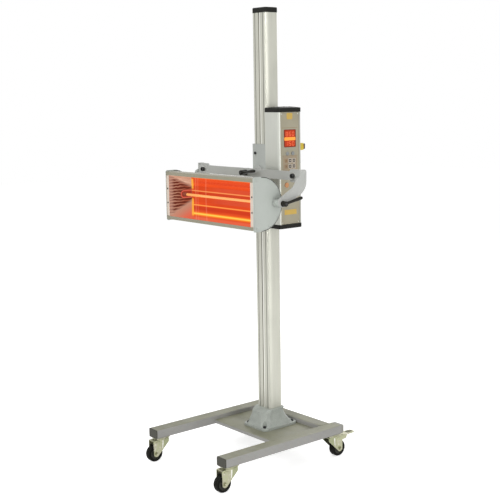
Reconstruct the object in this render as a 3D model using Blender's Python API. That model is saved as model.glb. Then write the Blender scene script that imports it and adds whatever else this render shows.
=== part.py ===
"""Mobile infrared paint curing lamp.

A wheeled stand carries a slotted mast. A balanced carriage slides on the mast and holds the
control box and a swivelling yoke, and the lamp cassette tilts between the arms of the yoke.
The mast's axis is X = Y = 0, the floor is Z = 0 and the lamp faces -Y.
"""
import math

import bmesh
import bpy
from mathutils import Matrix, Vector

# Clearances
SEAT_GAP = 0.0003            # between pieces that touch or rest on each other
RUN_GAP = 0.0005             # between pieces that slide or turn on each other
CUT_OVERRUN = 0.004          # how far a cutter passes the face that it leaves by

# Wheeled frame
RAIL_SPACING = 0.495         # between the middles of the two side rails
RAIL_WIDTH = 0.060
RAIL_HEIGHT = 0.040
RAIL_WALL = 0.0025
RAIL_CORNER = 0.005
FRONT_REACH = 0.476          # from the mast's axis to the front ends of the rails
REAR_REACH = 0.1955          # and to their rear ends
CROSS_TUBE_INSET = 0.0305    # cross tube's rear face ahead of the rails' rear ends
DECK_THICKNESS = 0.004
DECK_DROP = 0.020            # deck's top below the rails' tops
DECK_FRONT = 0.153           # from the mast's axis to the deck's front edge
DECK_LIP = 0.015
FRONT_PLUG_HEAD = 0.004
REAR_PLUG_HEAD = 0.019
FRONT_PLUG_EDGE = 0.0015
REAR_PLUG_EDGE = 0.006
PLUG_SPIGOT = 0.014

# Casters
CASTER_HEIGHT = 0.108        # floor to the rails' undersides
FRONT_CASTER_INSET = 0.036   # swivel axis behind the rails' front ends
REAR_CASTER_INSET = 0.0475   # swivel axis ahead of the rails' rear ends
WHEEL_RADIUS = 0.0375
TREAD_WIDTH = 0.031
TREAD_GROOVE_WIDTH = 0.002
TREAD_GROOVE_DEPTH = 0.0012
TREAD_GROOVE_OFFSET = 0.005  # groove's middle from the middle of the tread
HUB_WIDTH = 0.033
HUB_RADIUS = 0.012
RIM_RADIUS = 0.027
WEB_THICKNESS = 0.016
TREAD_ROUND = 0.006
AXLE_RADIUS = 0.005
AXLE_HEAD_RADIUS = 0.0085
AXLE_HEAD_HEIGHT = 0.005
TRAIL = 0.036                # swivel axis to the wheel's axle
FORK_SHEET = 0.003
FORK_SIDE_GAP = 0.0010       # hub to fork leg
LEG_BOSS_RADIUS = 0.0145
CROWN_RADIUS = 0.0265
CROWN_REAR = 0.032           # swivel axis to the crown's rear edge
CROWN_SKIRT = 0.015
BEAD_WIDTH = 0.008           # pressed bead on the outside of each fork leg
BEAD_HEIGHT = 0.0022
BEAD_INSET = 0.0085          # bead's middle below the crown's top
BEAD_BEND = 0.012
# Section of a fork's bead: shares of half its width and of its height
BEAD_SECTION_SHARES = ((-1.0, 0.0), (-0.5, 1.0), (0.5, 1.0), (1.0, 0.0))
TOP_PLATE_WIDTH = 0.056
TOP_PLATE_LENGTH = 0.070
TOP_PLATE_THICKNESS = 0.003
TOP_PLATE_CORNER = 0.006
RACE_HEIGHT = 0.0065
RACE_RADIUS = 0.0255
KINGPIN_RADIUS = 0.006
KINGPIN_HEAD_RADIUS = 0.0095
KINGPIN_HEAD_HEIGHT = 0.003
PEDAL_WIDTH = 0.030
PEDAL_THICKNESS = 0.0035
PEDAL_REACH = 0.136          # swivel axis to the pedal's tip
PEDAL_PIVOT_REACH = 0.034
PEDAL_PIVOT_RISE = 0.0495    # pedal pivot above the wheel's axle
PEDAL_PIN_RADIUS = 0.0025
PEDAL_BOSS_RADIUS = 0.0055
PEDAL_TREAD_WIDTH = 0.036
PEDAL_TREAD_CORNER = 0.014
PEDAL_TIP_RISE = 0.006
CHEEK_REACH = 0.082          # swivel axis to the far end of the pedal's side cheeks
CHEEK_DROP = 0.013           # cheeks' lower edge below the pedal's pivot
CHEEK_THICKNESS = 0.0025
SHOE_REACH = 0.052           # swivel axis to the middle of the brake shoe
SHOE_LENGTH = 0.012
SHOE_DROP = 0.0115           # shoe's face below the pedal's pivot

# Mast and its foot
MAST_TOP = 1.970
MAST_WIDTH = 0.088
MAST_DEPTH = 0.070
MAST_CORNER = 0.008
MAST_WALL = 0.003
SLOT_WIDTH = 0.0065
SLOT_LIP = 0.006             # depth of the slot's lips
SLOT_LIP_THICKNESS = 0.002
GROOVE_WIDTH = 0.003
GROOVE_DEPTH = 0.0012
GROOVE_OFFSET = 0.026        # groove's middle from the middle of the front face
CAP_OVERHANG = 0.001
CAP_HEIGHT = 0.022
CAP_ROUND = 0.004
CAP_SPIGOT = 0.012
FOOT_WIDTH = 0.160
FOOT_LENGTH = 0.200
FOOT_FLANGE = 0.011
FOOT_HEIGHT = 0.086
FOOT_FLOOR = 0.012
FOOT_CORNER = 0.024
FOOT_COLLAR = 0.010          # collar wall round the mast
FOOT_FLARE_SHARE = 0.76      # width of the flare where it leaves the flange, of the flange's
FOOT_FLARE_POWER = 2.0
FOOT_FLARE_STEPS = 6
FOOT_NOSE = 0.030             # how far the foot's upper part reaches forward of its collar
FOOT_NOSE_CORNER = 0.030
FOOT_BOLT_X = 0.057          # bolt from the mast's axis along X
FOOT_BOLT_Y = 0.081
FOOT_BOLT_RADIUS = 0.0045
FOOT_BOLT_SINK_RADIUS = 0.0095
FOOT_BOLT_SINK = 0.003

# Balance gear inside the mast
CABLE_RADIUS = 0.0015
CABLE_CIRCLE = 0.018         # radius at which the cable runs on the pulley
PULLEY_RADIUS = 0.0205
PULLEY_WIDTH = 0.010
PULLEY_CENTRE_Y = -0.002
PULLEY_DROP = 0.045          # pulley's axis below the mast's top
PULLEY_AXLE_RADIUS = 0.004
BRACKET_SHEET = 0.003
BRACKET_DEPTH = 0.026
BRACKET_TAIL = 0.010
WEIGHT_WIDTH = 0.076
WEIGHT_DEPTH = 0.030
WEIGHT_HEIGHT = 0.560
WEIGHT_BOTTOM = 0.610
WEIGHT_ROUND = 0.003
WEIGHT_EYE_RADIUS = 0.006
WEIGHT_EYE_HEIGHT = 0.016

# Carriage
CARRIAGE_ABOVE_YOKE = 0.119  # carriage's top above the yoke's swivel axis
CARRIAGE_HEIGHT = 0.300
CARRIAGE_WALL = 0.0065
CARRIAGE_CORNER = 0.009
CLAMP_NECK_WIDTH = 0.0045
CLAMP_NOSE_WIDTH = 0.010
CLAMP_NOSE = 0.016           # depth of the clamp's nose
CLAMP_HEIGHT = 0.034
CLAMP_DROP = 0.060           # clamp's middle below the carriage's top
CLAMP_TAIL = 0.008           # clamp's nose past the cable's middle
YOKE_HEIGHT = 1.2885         # height of the yoke's swivel axis
YOKE_REACH = 0.1186          # mast's axis to the front face of the yoke bar
SPINDLE_RADIUS = 0.015
SPINDLE_FLANGE_RADIUS = 0.026
SPINDLE_FLANGE = 0.007
SPINDLE_COLLAR_RADIUS = 0.019
SPINDLE_COLLAR = 0.008
STUD_RADIUS = 0.005
STUD_REACH = 0.016           # stud past the face of the bar or arm that it carries

# Yoke
YOKE_SIDE_ROOM = 0.0375      # end of the yoke bar past the lamp's end plate
BAR_HEIGHT = 0.037
BAR_THICKNESS = 0.006
BAR_CORNER = 0.003
ARM_THICKNESS = 0.006
ARM_TOP_RISE = 0.027         # arm's top above the swivel axis
ARM_BACK_REACH = 0.0355      # arm's rear edge behind the bar's front face
ARM_CORNER = 0.010
ARM_HEEL_RADIUS = 0.061
ARM_HEEL_DROP = 0.0195       # centre of the heel's arc below the swivel axis
ARM_INNER_RADIUS = 0.066
ARM_INNER_FORWARD = 0.014    # centre of the inner arc behind the tilt axis
ARM_INNER_RISE = 0.113       # and above the tilt axis
ARM_INNER_END = -14.0        # angle at which the inner arc meets the bar
ARM_TIP_RADIUS = 0.0215
ARM_TIP_RISE = 0.006         # centre of the tip's arc above the tilt axis
ARM_STEPS = 8
ARM_FLANGE_LENGTH = 0.065
ARM_FLANGE_DROP = 0.027
ARM_BOLT_INSET = 0.036       # arm bolt from the end of the bar
ARM_BOLT_HOLE_RADIUS = 0.0043
SWIVEL_LEVER_LENGTH = 0.104
SWIVEL_LEVER_HUB = 0.033
SWIVEL_LEVER_ANGLE = 7.0
TILT_LEVER_LENGTH = 0.086
TILT_LEVER_HUB = 0.023
TILT_LEVER_ANGLE = 14.0
LEVER_HUB_RADIUS = 0.0125
LEVER_HUB_TAPER = 0.0015
LEVER_GRIP_WIDTH = 0.0150
LEVER_GRIP_THICKNESS = 0.0120
LEVER_RISE = 0.010           # grip's tip above its root, along the hub's axis
# Stations along a lever's grip: share of its length, of its full size and of its rise
LEVER_STATION_SHARES = ((0.0, 0.90, 0.0), (0.22, 0.82, 0.10), (0.45, 0.88, 0.42), (0.75, 1.0, 0.80),
                        (0.93, 0.95, 0.97), (0.99, 0.66, 1.0), (1.0, 0.30, 1.0))

# Lamp cassette
TILT_FORWARD = 0.0954        # tilt axis in front of the yoke bar's front face
TILT_DROP = 0.1045           # tilt axis below the swivel axis
LAMP_HALF_LENGTH = 0.304     # middle to the outer face of an end plate
LAMP_FRONT = 0.119           # tilt axis to the lamp's front face
END_PLATE_PROUD = 0.0053     # end plate's round edge past the housing's skin
END_PLATE_THICKNESS = 0.0025
END_PLATE_CORNER = 0.008
END_PLATE_EDGE = 0.0012
END_GROOVE_INSET = 0.0055    # groove's outer side inside the end plate's edge
END_GROOVE_WIDTH = 0.0012
END_GROOVE_DEPTH = 0.0010
LAMP_ROUND_FORWARD = 0.076   # centre of the round back in front of the tilt axis
HOUSING_RADIUS = 0.1062
HOUSING_SHEET = 0.0018
HOUSING_LIP = 0.0155
HOUSING_SETBACK = 0.0015     # housing's front face behind the end plates' edges
HOUSING_BEND = 0.004
VENT_LENGTH = 0.050
VENT_HEIGHT = 0.005
VENT_END_MARGIN = 0.0382     # housing's end to the nearest vent
VENT_COUNT = 8
VENT_ANGLES = (-34.0, 34.0)
REFLECTOR_END_ROOM = 0.014   # tray's end wall inside the end plate's outer face
REFLECTOR_SHEET = 0.0015
REFLECTOR_MOUTH_ROOM = 0.0089  # tray's front edge inside the housing's sheet
REFLECTOR_BACK_ROOM = 0.0148   # tray's back wall in front of the housing's sheet
REFLECTOR_BACK = 0.037       # half the height of the tray's back wall
REFLECTOR_BEND = 0.006
TUBE_RADIUS = 0.0055
TUBE_BEHIND_MOUTH = 0.0845
SOCKET_RADIUS = 0.0095
SOCKET_INSIDE = 0.024        # socket's nose inside the tray's end wall
SOCKET_BORE = 0.014
SOCKET_NOSE_CHAMFER = 0.002
SOCKET_COLLAR_RADIUS = 0.014
PIVOT_BOSS_RADIUS = 0.016
PIVOT_BOSS_CHAMFER = 0.002
PIVOT_BOLT_HEAD_RADIUS = 0.011
PIVOT_BOLT_HEAD = 0.007
PIVOT_BORE_DEPTH = 0.022
LAMP_GLAND_END_ROOM = 0.0962   # housing's end to the middle of the cable gland

# Control box, on the carriage's +X side
BOX_WIDTH = 0.0958
BOX_DEPTH = 0.129
BOX_CENTRE_Y = 0.0085
BOX_BELOW_YOKE = 0.225       # box's lower end below the yoke's swivel axis
BOX_HEIGHT = 0.4825
BOX_CORNER = 0.009
BOX_WALL = 0.003
BOX_CAP_HEIGHT = 0.0185
BOX_CAP_CROWN = 0.004        # rise of the caps' outer faces towards their middles
BOX_CAP_CROWN_SHARE = 0.5    # size of the flat middle, of the whole cap
BOX_CAP_OVERHANG = 0.0012
BOX_CAP_ROUND = 0.003
BOX_CAP_SPIGOT = 0.008
PANEL_WIDTH = 0.103
PANEL_RECESS = 0.0045
PANEL_SHEET = 0.002
DISPLAY_WIDTH = 0.068
DISPLAY_HEIGHT = 0.076
DISPLAY_DROP = 0.112         # middle of the display below the box's top
DISPLAY_PROUD = 0.0008
DISPLAY_ROUND = 0.003
BUTTON_RADIUS = 0.0085
BUTTON_PROUD = 0.0045
BUTTON_BODY = 0.012
BUTTON_EDGE = 0.0012
BUTTON_SPACING = 0.031
BUTTON_DROP = 0.177
START_BUTTON_RADIUS = 0.011
START_BUTTON_DROP = 0.312
START_BUTTON_OFFSET = -0.021
KEYPAD_WIDTH = 0.082
KEYPAD_HEIGHT = 0.062
KEYPAD_MAT = 0.0008
KEYPAD_DROP = 0.218
KEY_WIDTH = 0.0145
KEY_HEIGHT = 0.0165
KEY_PROUD = 0.0012
KEY_PITCH_Y = 0.026
KEY_PITCH_Z = 0.027
KEY_ROUND = 0.003
SWITCH_PLATE = 0.031
SWITCH_PLATE_THICKNESS = 0.021
SWITCH_PLATE_CORNER = 0.004
SWITCH_FROM_EDGE = 0.0245    # switch's middle from the box's panel side
SWITCH_DROP = 0.151
KNOB_RADIUS = 0.0135
KNOB_BASE = 0.005
KNOB_HEIGHT = 0.019
KNOB_GRIP = 0.007
GLAND_RADIUS = 0.011
GLAND_FLANGE = 0.006
GLAND_DOME = 0.016
GLAND_BORE = 0.005
GLAND_BORE_DEPTH = 0.018
BOX_GLAND_RISE = 0.036       # above the box's bottom
BOX_GLAND_FROM_EDGE = 0.065

# Facets
CORNER_STEPS = 3
EDGE_STEPS = 2
ROUND_STEPS = 16
SMALL_STEPS = 10
BOSS_STEPS = 6
WHEEL_STEPS = 26
BACK_STEPS = 22
SMOOTH_ANGLE = math.radians(35.0)

# Heights and faces that follow from the sizes above
RAIL_BOTTOM = CASTER_HEIGHT
RAIL_TOP = RAIL_BOTTOM + RAIL_HEIGHT
CROSS_REAR = REAR_REACH - CROSS_TUBE_INSET
CROSS_FRONT = CROSS_REAR - RAIL_WIDTH
INNER_RAIL_X = (RAIL_SPACING - RAIL_WIDTH) / 2
DECK_TOP = RAIL_TOP - DECK_DROP
FOOT_BOTTOM = DECK_TOP + SEAT_GAP
MAST_BOTTOM = FOOT_BOTTOM + FOOT_FLOOR + SEAT_GAP
CARRIAGE_HALF_X = MAST_WIDTH / 2 + RUN_GAP + CARRIAGE_WALL
CARRIAGE_HALF_Y = MAST_DEPTH / 2 + RUN_GAP + CARRIAGE_WALL
CARRIAGE_TOP = YOKE_HEIGHT + CARRIAGE_ABOVE_YOKE
CARRIAGE_BOTTOM = CARRIAGE_TOP - CARRIAGE_HEIGHT
BAR_FRONT = -YOKE_REACH
BAR_REAR = BAR_FRONT + BAR_THICKNESS
TILT_Y = BAR_FRONT - TILT_FORWARD
TILT_Z = YOKE_HEIGHT - TILT_DROP
YOKE_HALF_LENGTH = LAMP_HALF_LENGTH + YOKE_SIDE_ROOM
ARM_INNER_X = YOKE_HALF_LENGTH + SEAT_GAP
ARM_OUTER_X = ARM_INNER_X + ARM_THICKNESS
LAMP_FRONT_Y = TILT_Y - LAMP_FRONT
LAMP_ROUND_Y = TILT_Y - LAMP_ROUND_FORWARD
HOUSING_HALF_LENGTH = LAMP_HALF_LENGTH - END_PLATE_THICKNESS - SEAT_GAP
REFLECTOR_HALF_LENGTH = LAMP_HALF_LENGTH - REFLECTOR_END_ROOM
LAMP_GLAND_X = HOUSING_HALF_LENGTH - LAMP_GLAND_END_ROOM
END_PLATE_RADIUS = HOUSING_RADIUS + END_PLATE_PROUD
REFLECTOR_MOUTH = HOUSING_RADIUS - HOUSING_SHEET - REFLECTOR_MOUTH_ROOM
VENT_SPAN = 2 * (HOUSING_HALF_LENGTH - VENT_END_MARGIN) - VENT_LENGTH
VENT_PITCH = VENT_SPAN / (VENT_COUNT - 1)
HOUSING_FRONT_Y = LAMP_FRONT_Y + HOUSING_SETBACK
MOUTH_Y = HOUSING_FRONT_Y + HOUSING_SHEET + SEAT_GAP
HOUSING_INNER_BACK_Y = LAMP_ROUND_Y + HOUSING_RADIUS - HOUSING_SHEET
REFLECTOR_DEPTH = HOUSING_INNER_BACK_Y - REFLECTOR_BACK_ROOM - MOUTH_Y
TUBE_Y = MOUTH_Y + TUBE_BEHIND_MOUTH
PULLEY_Z = MAST_TOP - PULLEY_DROP
CABLE_FRONT_Y = PULLEY_CENTRE_Y - CABLE_CIRCLE
CABLE_REAR_Y = PULLEY_CENTRE_Y + CABLE_CIRCLE
CLAMP_Z = CARRIAGE_TOP - CLAMP_DROP
BOX_INNER_X = CARRIAGE_HALF_X + SEAT_GAP
BOX_OUTER_X = BOX_INNER_X + BOX_WIDTH
BOX_BOTTOM = YOKE_HEIGHT - BOX_BELOW_YOKE
BOX_TOP = BOX_BOTTOM + BOX_HEIGHT
BOX_REAR_Y = BOX_CENTRE_Y + BOX_DEPTH / 2
RECESS_X = BOX_OUTER_X - PANEL_RECESS
PANEL_BACK_X = RECESS_X + SEAT_GAP
PANEL_FACE_X = PANEL_BACK_X + PANEL_SHEET

# Colour, roughness and metallic value of each finish
FINISHES = {
    "warm_grey_paint": ((0.42, 0.41, 0.39), 0.45, 0.0),
    "cast_grey_paint": ((0.55, 0.55, 0.54), 0.50, 0.0),
    "light_grey_paint": ((0.62, 0.64, 0.63), 0.42, 0.0),
    "olive_grey_paint": ((0.50, 0.50, 0.44), 0.45, 0.0),
    "satin_aluminium": ((0.74, 0.73, 0.69), 0.32, 1.0),
    "polished_aluminium": ((0.88, 0.80, 0.74), 0.12, 1.0),
    "zinc_plate": ((0.66, 0.64, 0.56), 0.30, 1.0),
    "steel": ((0.45, 0.45, 0.46), 0.40, 1.0),
    "black_plastic": ((0.035, 0.035, 0.035), 0.45, 0.0),
    "black_rubber": ((0.03, 0.03, 0.03), 0.70, 0.0),
    "panel_grey": ((0.60, 0.57, 0.50), 0.50, 0.0),
    "red_window": ((0.45, 0.02, 0.01), 0.15, 0.0),
    "grey_blue_plastic": ((0.38, 0.45, 0.52), 0.40, 0.0),
    "orange_plastic": ((0.85, 0.35, 0.05), 0.35, 0.0),
    "red_plastic": ((0.60, 0.04, 0.03), 0.35, 0.0),
    "grey_plastic": ((0.30, 0.30, 0.29), 0.45, 0.0),
    "yellow_plastic": ((0.85, 0.62, 0.06), 0.45, 0.0),
    "quartz": ((0.95, 0.55, 0.30), 0.08, 0.0),
    "ceramic": ((0.80, 0.77, 0.70), 0.60, 0.0),
}

for old in list(bpy.data.objects):
    bpy.data.objects.remove(old, do_unlink=True)


def stand_place(obj):
    """Where an object's origin is in stand coordinates. Nothing in the chain is turned."""
    total = Vector((0, 0, 0))
    while obj:
        total += obj.location
        obj = obj.parent
    return total


def add_pivot(name, place, parent=None):
    """An empty on a joint's axis, which carries the pieces that move with that joint."""
    empty = bpy.data.objects.new(name, None)
    empty.parent = parent
    empty.location = Vector(place) - stand_place(parent)
    bpy.context.collection.objects.link(empty)
    return empty


stand = add_pivot("stand_origin", (0, 0, 0))
carriage_slide = add_pivot("carriage_slide", (0, 0, CARRIAGE_BOTTOM), stand)
yoke_swivel = add_pivot("yoke_swivel", (0, BAR_REAR, YOKE_HEIGHT), carriage_slide)
lamp_tilt = add_pivot("lamp_tilt", (0, TILT_Y, TILT_Z), yoke_swivel)


def finish(name, kind):
    """The Principled material of one piece."""
    colour, roughness, metallic = FINISHES[kind]
    material = bpy.data.materials.new(name + "_" + kind)
    material.use_nodes = True
    shader = material.node_tree.nodes["Principled BSDF"]
    shader.inputs["Base Color"].default_value = (*colour, 1.0)
    shader.inputs["Roughness"].default_value = roughness
    shader.inputs["Metallic"].default_value = metallic
    material.diffuse_color = (*colour, 1.0)
    return material


def place(name, bm, parent, pivot):
    """Turn a bmesh in stand coordinates into an object whose origin is the pivot."""
    bmesh.ops.recalc_face_normals(bm, faces=bm.faces)
    bmesh.ops.translate(bm, verts=bm.verts, vec=-Vector(pivot))
    mesh = bpy.data.meshes.new(name)
    bm.to_mesh(mesh)
    bm.free()
    obj = bpy.data.objects.new(name, mesh)
    obj.parent = parent
    obj.location = Vector(pivot) - stand_place(parent)
    bpy.context.collection.objects.link(obj)
    return obj


def piece(name, bm, kind, parent, pivot=None):
    """One solid of the lamp, shaded smooth except at its edges.

    Its origin is the pivot, or else its parent's.
    """
    obj = place(name, bm, parent, pivot or stand_place(parent))
    obj.data.materials.append(finish(name, kind))
    obj.data.shade_smooth()
    obj.data.set_sharp_from_angle(angle=SMOOTH_ANGLE)
    return obj


def combine(target, bm, operation, label):
    """Cut a tool shape from a piece, or join it to the piece. The tool moves with the piece."""
    tool = place(target.name + "_" + label, bm, target, stand_place(target))
    tool.hide_render = True
    tool.display_type = "WIRE"
    modifier = target.modifiers.new(label, "BOOLEAN")
    modifier.object = tool
    modifier.operation = operation
    modifier.solver = "EXACT"


def cut(target, bm, label):
    combine(target, bm, "DIFFERENCE", label)


def fuse(target, bm, label):
    combine(target, bm, "UNION", label)


def arc(centre, radius, start, end, steps=CORNER_STEPS):
    """Points of an arc, both ends included, with angles in degrees."""
    points = []
    for step in range(steps + 1):
        angle = math.radians(start + (end - start) * step / steps)
        points.append((centre[0] + radius * math.cos(angle), centre[1] + radius * math.sin(angle)))
    return points


def rounded_rectangle(half_u, half_v, radius, centre=(0, 0), steps=CORNER_STEPS):
    """Outline of a rectangle with round corners, anticlockwise."""
    radius = min(radius, half_u, half_v)
    u, v = half_u - radius, half_v - radius
    points = []
    for sign_u, sign_v, start in ((1, -1, -90), (1, 1, 0), (-1, 1, 90), (-1, -1, 180)):
        corner = (centre[0] + sign_u * u, centre[1] + sign_v * v)
        points += arc(corner, radius, start, start + 90, steps)
    return points


def circle(centre, radius, steps=ROUND_STEPS):
    return arc(centre, radius, 0, 360, steps)[:-1]


def tangent_angle(centre_a, radius_a, centre_b, radius_b, side):
    """Direction, in degrees, of the common normal of two circles' tangent line.

    A negative radius_b gives the tangent that crosses between the circles.
    """
    along = math.atan2(centre_b[1] - centre_a[1], centre_b[0] - centre_a[0])
    distance = math.hypot(centre_b[0] - centre_a[0], centre_b[1] - centre_a[1])
    return math.degrees(along + side * math.acos((radius_a - radius_b) / distance))


def point_in_plane(plane, u, v, w):
    """A point from its two coordinates in a plane and its distance from the plane."""
    return {"xy": (u, v, w), "yz": (w, u, v), "xz": (u, w, v)}[plane]


def prism(outline, plane, low, high):
    """An outline extruded square to its plane, from low to high."""
    bm = bmesh.new()
    base = [bm.verts.new(point_in_plane(plane, u, v, low)) for u, v in outline]
    face = bm.faces.new(base)
    made = bmesh.ops.extrude_face_region(bm, geom=[face])["geom"]
    lifted = [item for item in made if isinstance(item, bmesh.types.BMVert)]
    step = Vector(point_in_plane(plane, 0, 0, high - low))
    bmesh.ops.translate(bm, verts=lifted, vec=step)
    bmesh.ops.recalc_face_normals(bm, faces=bm.faces)
    return bm


def hollow_prism(outer, inner, plane, low, high):
    """A tube between two outlines with as many points each."""
    bm = bmesh.new()
    rings = []
    for outline, level in ((outer, low), (outer, high), (inner, high), (inner, low)):
        rings.append([bm.verts.new(point_in_plane(plane, u, v, level)) for u, v in outline])
    count = len(outer)
    for ring, following in zip(rings, rings[1:] + rings[:1]):
        for index in range(count):
            after = (index + 1) % count
            bm.faces.new((ring[index], ring[after], following[after], following[index]))
    bmesh.ops.recalc_face_normals(bm, faces=bm.faces)
    return bm


def loft(loops):
    """A solid through closed loops of as many points each, capped at both ends."""
    bm = bmesh.new()
    rings = [[bm.verts.new(point) for point in loop] for loop in loops]
    count = len(rings[0])
    for ring, following in zip(rings, rings[1:]):
        for index in range(count):
            after = (index + 1) % count
            bm.faces.new((ring[index], ring[after], following[after], following[index]))
    bm.faces.new(rings[0])
    bm.faces.new(rings[-1])
    bmesh.ops.recalc_face_normals(bm, faces=bm.faces)
    return bm


def axis_frame(axis, centre, towards=None):
    """Matrix that puts local +Z along the axis and local +X near the given direction."""
    z = Vector(axis).normalized()
    x = Vector(towards) if towards else z.orthogonal()
    x = (x - x.dot(z) * z).normalized()
    y = z.cross(x)
    matrix = Matrix((x, y, z)).transposed().to_4x4()
    matrix.translation = Vector(centre)
    return matrix


def turned(profile, axis, centre, steps=ROUND_STEPS, ring=False):
    """A profile of (radius, height) points revolved about an axis.

    The profile starts and ends on the axis, or is a closed ring round it.
    """
    bm = bmesh.new()
    matrix = axis_frame(axis, centre)
    rows = []
    for radius, height in profile:
        if radius == 0:
            rows.append([bm.verts.new(matrix @ Vector((0, 0, height)))])
            continue
        rows.append([bm.verts.new(matrix @ Vector((u, v, height)))
                     for u, v in circle((0, 0), radius, steps)])
    pairs = list(zip(rows, rows[1:]))
    if ring:
        pairs.append((rows[-1], rows[0]))
    for row, following in pairs:
        for index in range(steps):
            after = (index + 1) % steps
            corners = [row[index % len(row)], row[after % len(row)],
                       following[after % len(following)], following[index % len(following)]]
            unique = list(dict.fromkeys(corners))
            bm.faces.new(unique)
    bmesh.ops.recalc_face_normals(bm, faces=bm.faces)
    return bm


def merged(shapes):
    """Several closed shapes in one mesh, for use as a single cutter."""
    bm = bmesh.new()
    for shape in shapes:
        mesh = bpy.data.meshes.new("tool_part")
        shape.to_mesh(mesh)
        shape.free()
        bm.from_mesh(mesh)
        bpy.data.meshes.remove(mesh)
    return bm


def moved(bm, matrix):
    bmesh.ops.transform(bm, matrix=matrix, verts=bm.verts)
    return bm


def box(low, high):
    """A plain block between two opposite corners."""
    return prism([(low[0], low[1]), (high[0], low[1]), (high[0], high[1]), (low[0], high[1])],
                 "xy", low[2], high[2])


def round_bar(radius, axis, centre, low, high, steps=ROUND_STEPS):
    """A plain round bar between two distances along the axis from the centre."""
    return turned([(0, low), (radius, low), (radius, high), (0, high)], axis, centre, steps)


def capped_block(half_u, half_v, corner, edge, plane, base, top):
    """A block with round corners whose edges are rounded over at its top face."""
    direction = 1 if top > base else -1
    sections = [(0, base)]
    for inset, rise in arc((edge, 0), edge, 180, 90, EDGE_STEPS):
        sections.append((inset, top - direction * (edge - rise)))
    loops = []
    for inset, level in sections:
        outline = rounded_rectangle(half_u - inset, half_v - inset, corner - inset)
        loops.append([point_in_plane(plane, u, v, level) for u, v in outline])
    return loft(loops)


def make_rails():
    """Two side rails with their end plugs, and the cross tube between them."""
    outer = rounded_rectangle(RAIL_WIDTH / 2, RAIL_HEIGHT / 2, RAIL_CORNER)
    inner = rounded_rectangle(RAIL_WIDTH / 2 - RAIL_WALL, RAIL_HEIGHT / 2 - RAIL_WALL,
                              RAIL_CORNER - RAIL_WALL)
    middle_z = (RAIL_BOTTOM + RAIL_TOP) / 2
    for side, sign in (("left", -1), ("right", 1)):
        x = sign * RAIL_SPACING / 2
        steel_rear = REAR_REACH + FRONT_PLUG_HEAD - REAR_PLUG_HEAD
        rail = hollow_prism(outer, inner, "xz", -FRONT_REACH, steel_rear)
        shift = Matrix.Translation((x, 0, middle_z))
        piece("rail_" + side, moved(rail, shift), "warm_grey_paint", stand)
        for end, face, way, depth, edge in (
                ("front", -FRONT_REACH, -1, FRONT_PLUG_HEAD, FRONT_PLUG_EDGE),
                ("rear", steel_rear, 1, REAR_PLUG_HEAD, REAR_PLUG_EDGE)):
            corner = max(RAIL_CORNER, edge + FRONT_PLUG_EDGE)
            head = capped_block(RAIL_WIDTH / 2, RAIL_HEIGHT / 2, corner, edge, "xz",
                                face + way * SEAT_GAP, face + way * (SEAT_GAP + depth))
            plug = piece("rail_plug_" + end + "_" + side, moved(head, shift), "grey_plastic", stand)
            inset = RAIL_WALL + SEAT_GAP
            levels = sorted((face + way * depth / 2, face - way * PLUG_SPIGOT))
            spigot = prism(rounded_rectangle(RAIL_WIDTH / 2 - inset, RAIL_HEIGHT / 2 - inset,
                                             RAIL_CORNER - RAIL_WALL), "xz", *levels)
            fuse(plug, moved(spigot, shift), "spigot")
    half_span = INNER_RAIL_X - SEAT_GAP
    cross = hollow_prism(outer, inner, "yz", -half_span, half_span)
    cross_y = (CROSS_FRONT + CROSS_REAR) / 2
    piece("rear_cross_tube", moved(cross, Matrix.Translation((0, cross_y, middle_z))),
          "warm_grey_paint", stand)


def make_deck():
    """The recessed base plate, folded down along its front edge."""
    rear = CROSS_FRONT - SEAT_GAP
    low = DECK_TOP - DECK_THICKNESS
    outline = [(rear, low), (rear, DECK_TOP)]
    bend = DECK_THICKNESS
    outline += arc((-DECK_FRONT + bend, DECK_TOP - bend), bend, 90, 180)
    outline += [(-DECK_FRONT, DECK_TOP - DECK_LIP),
                (-DECK_FRONT + DECK_THICKNESS, DECK_TOP - DECK_LIP),
                (-DECK_FRONT + DECK_THICKNESS, low)]
    half_span = INNER_RAIL_X - SEAT_GAP
    piece("base_plate", prism(outline, "yz", -half_span, half_span), "warm_grey_paint", stand)


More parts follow.
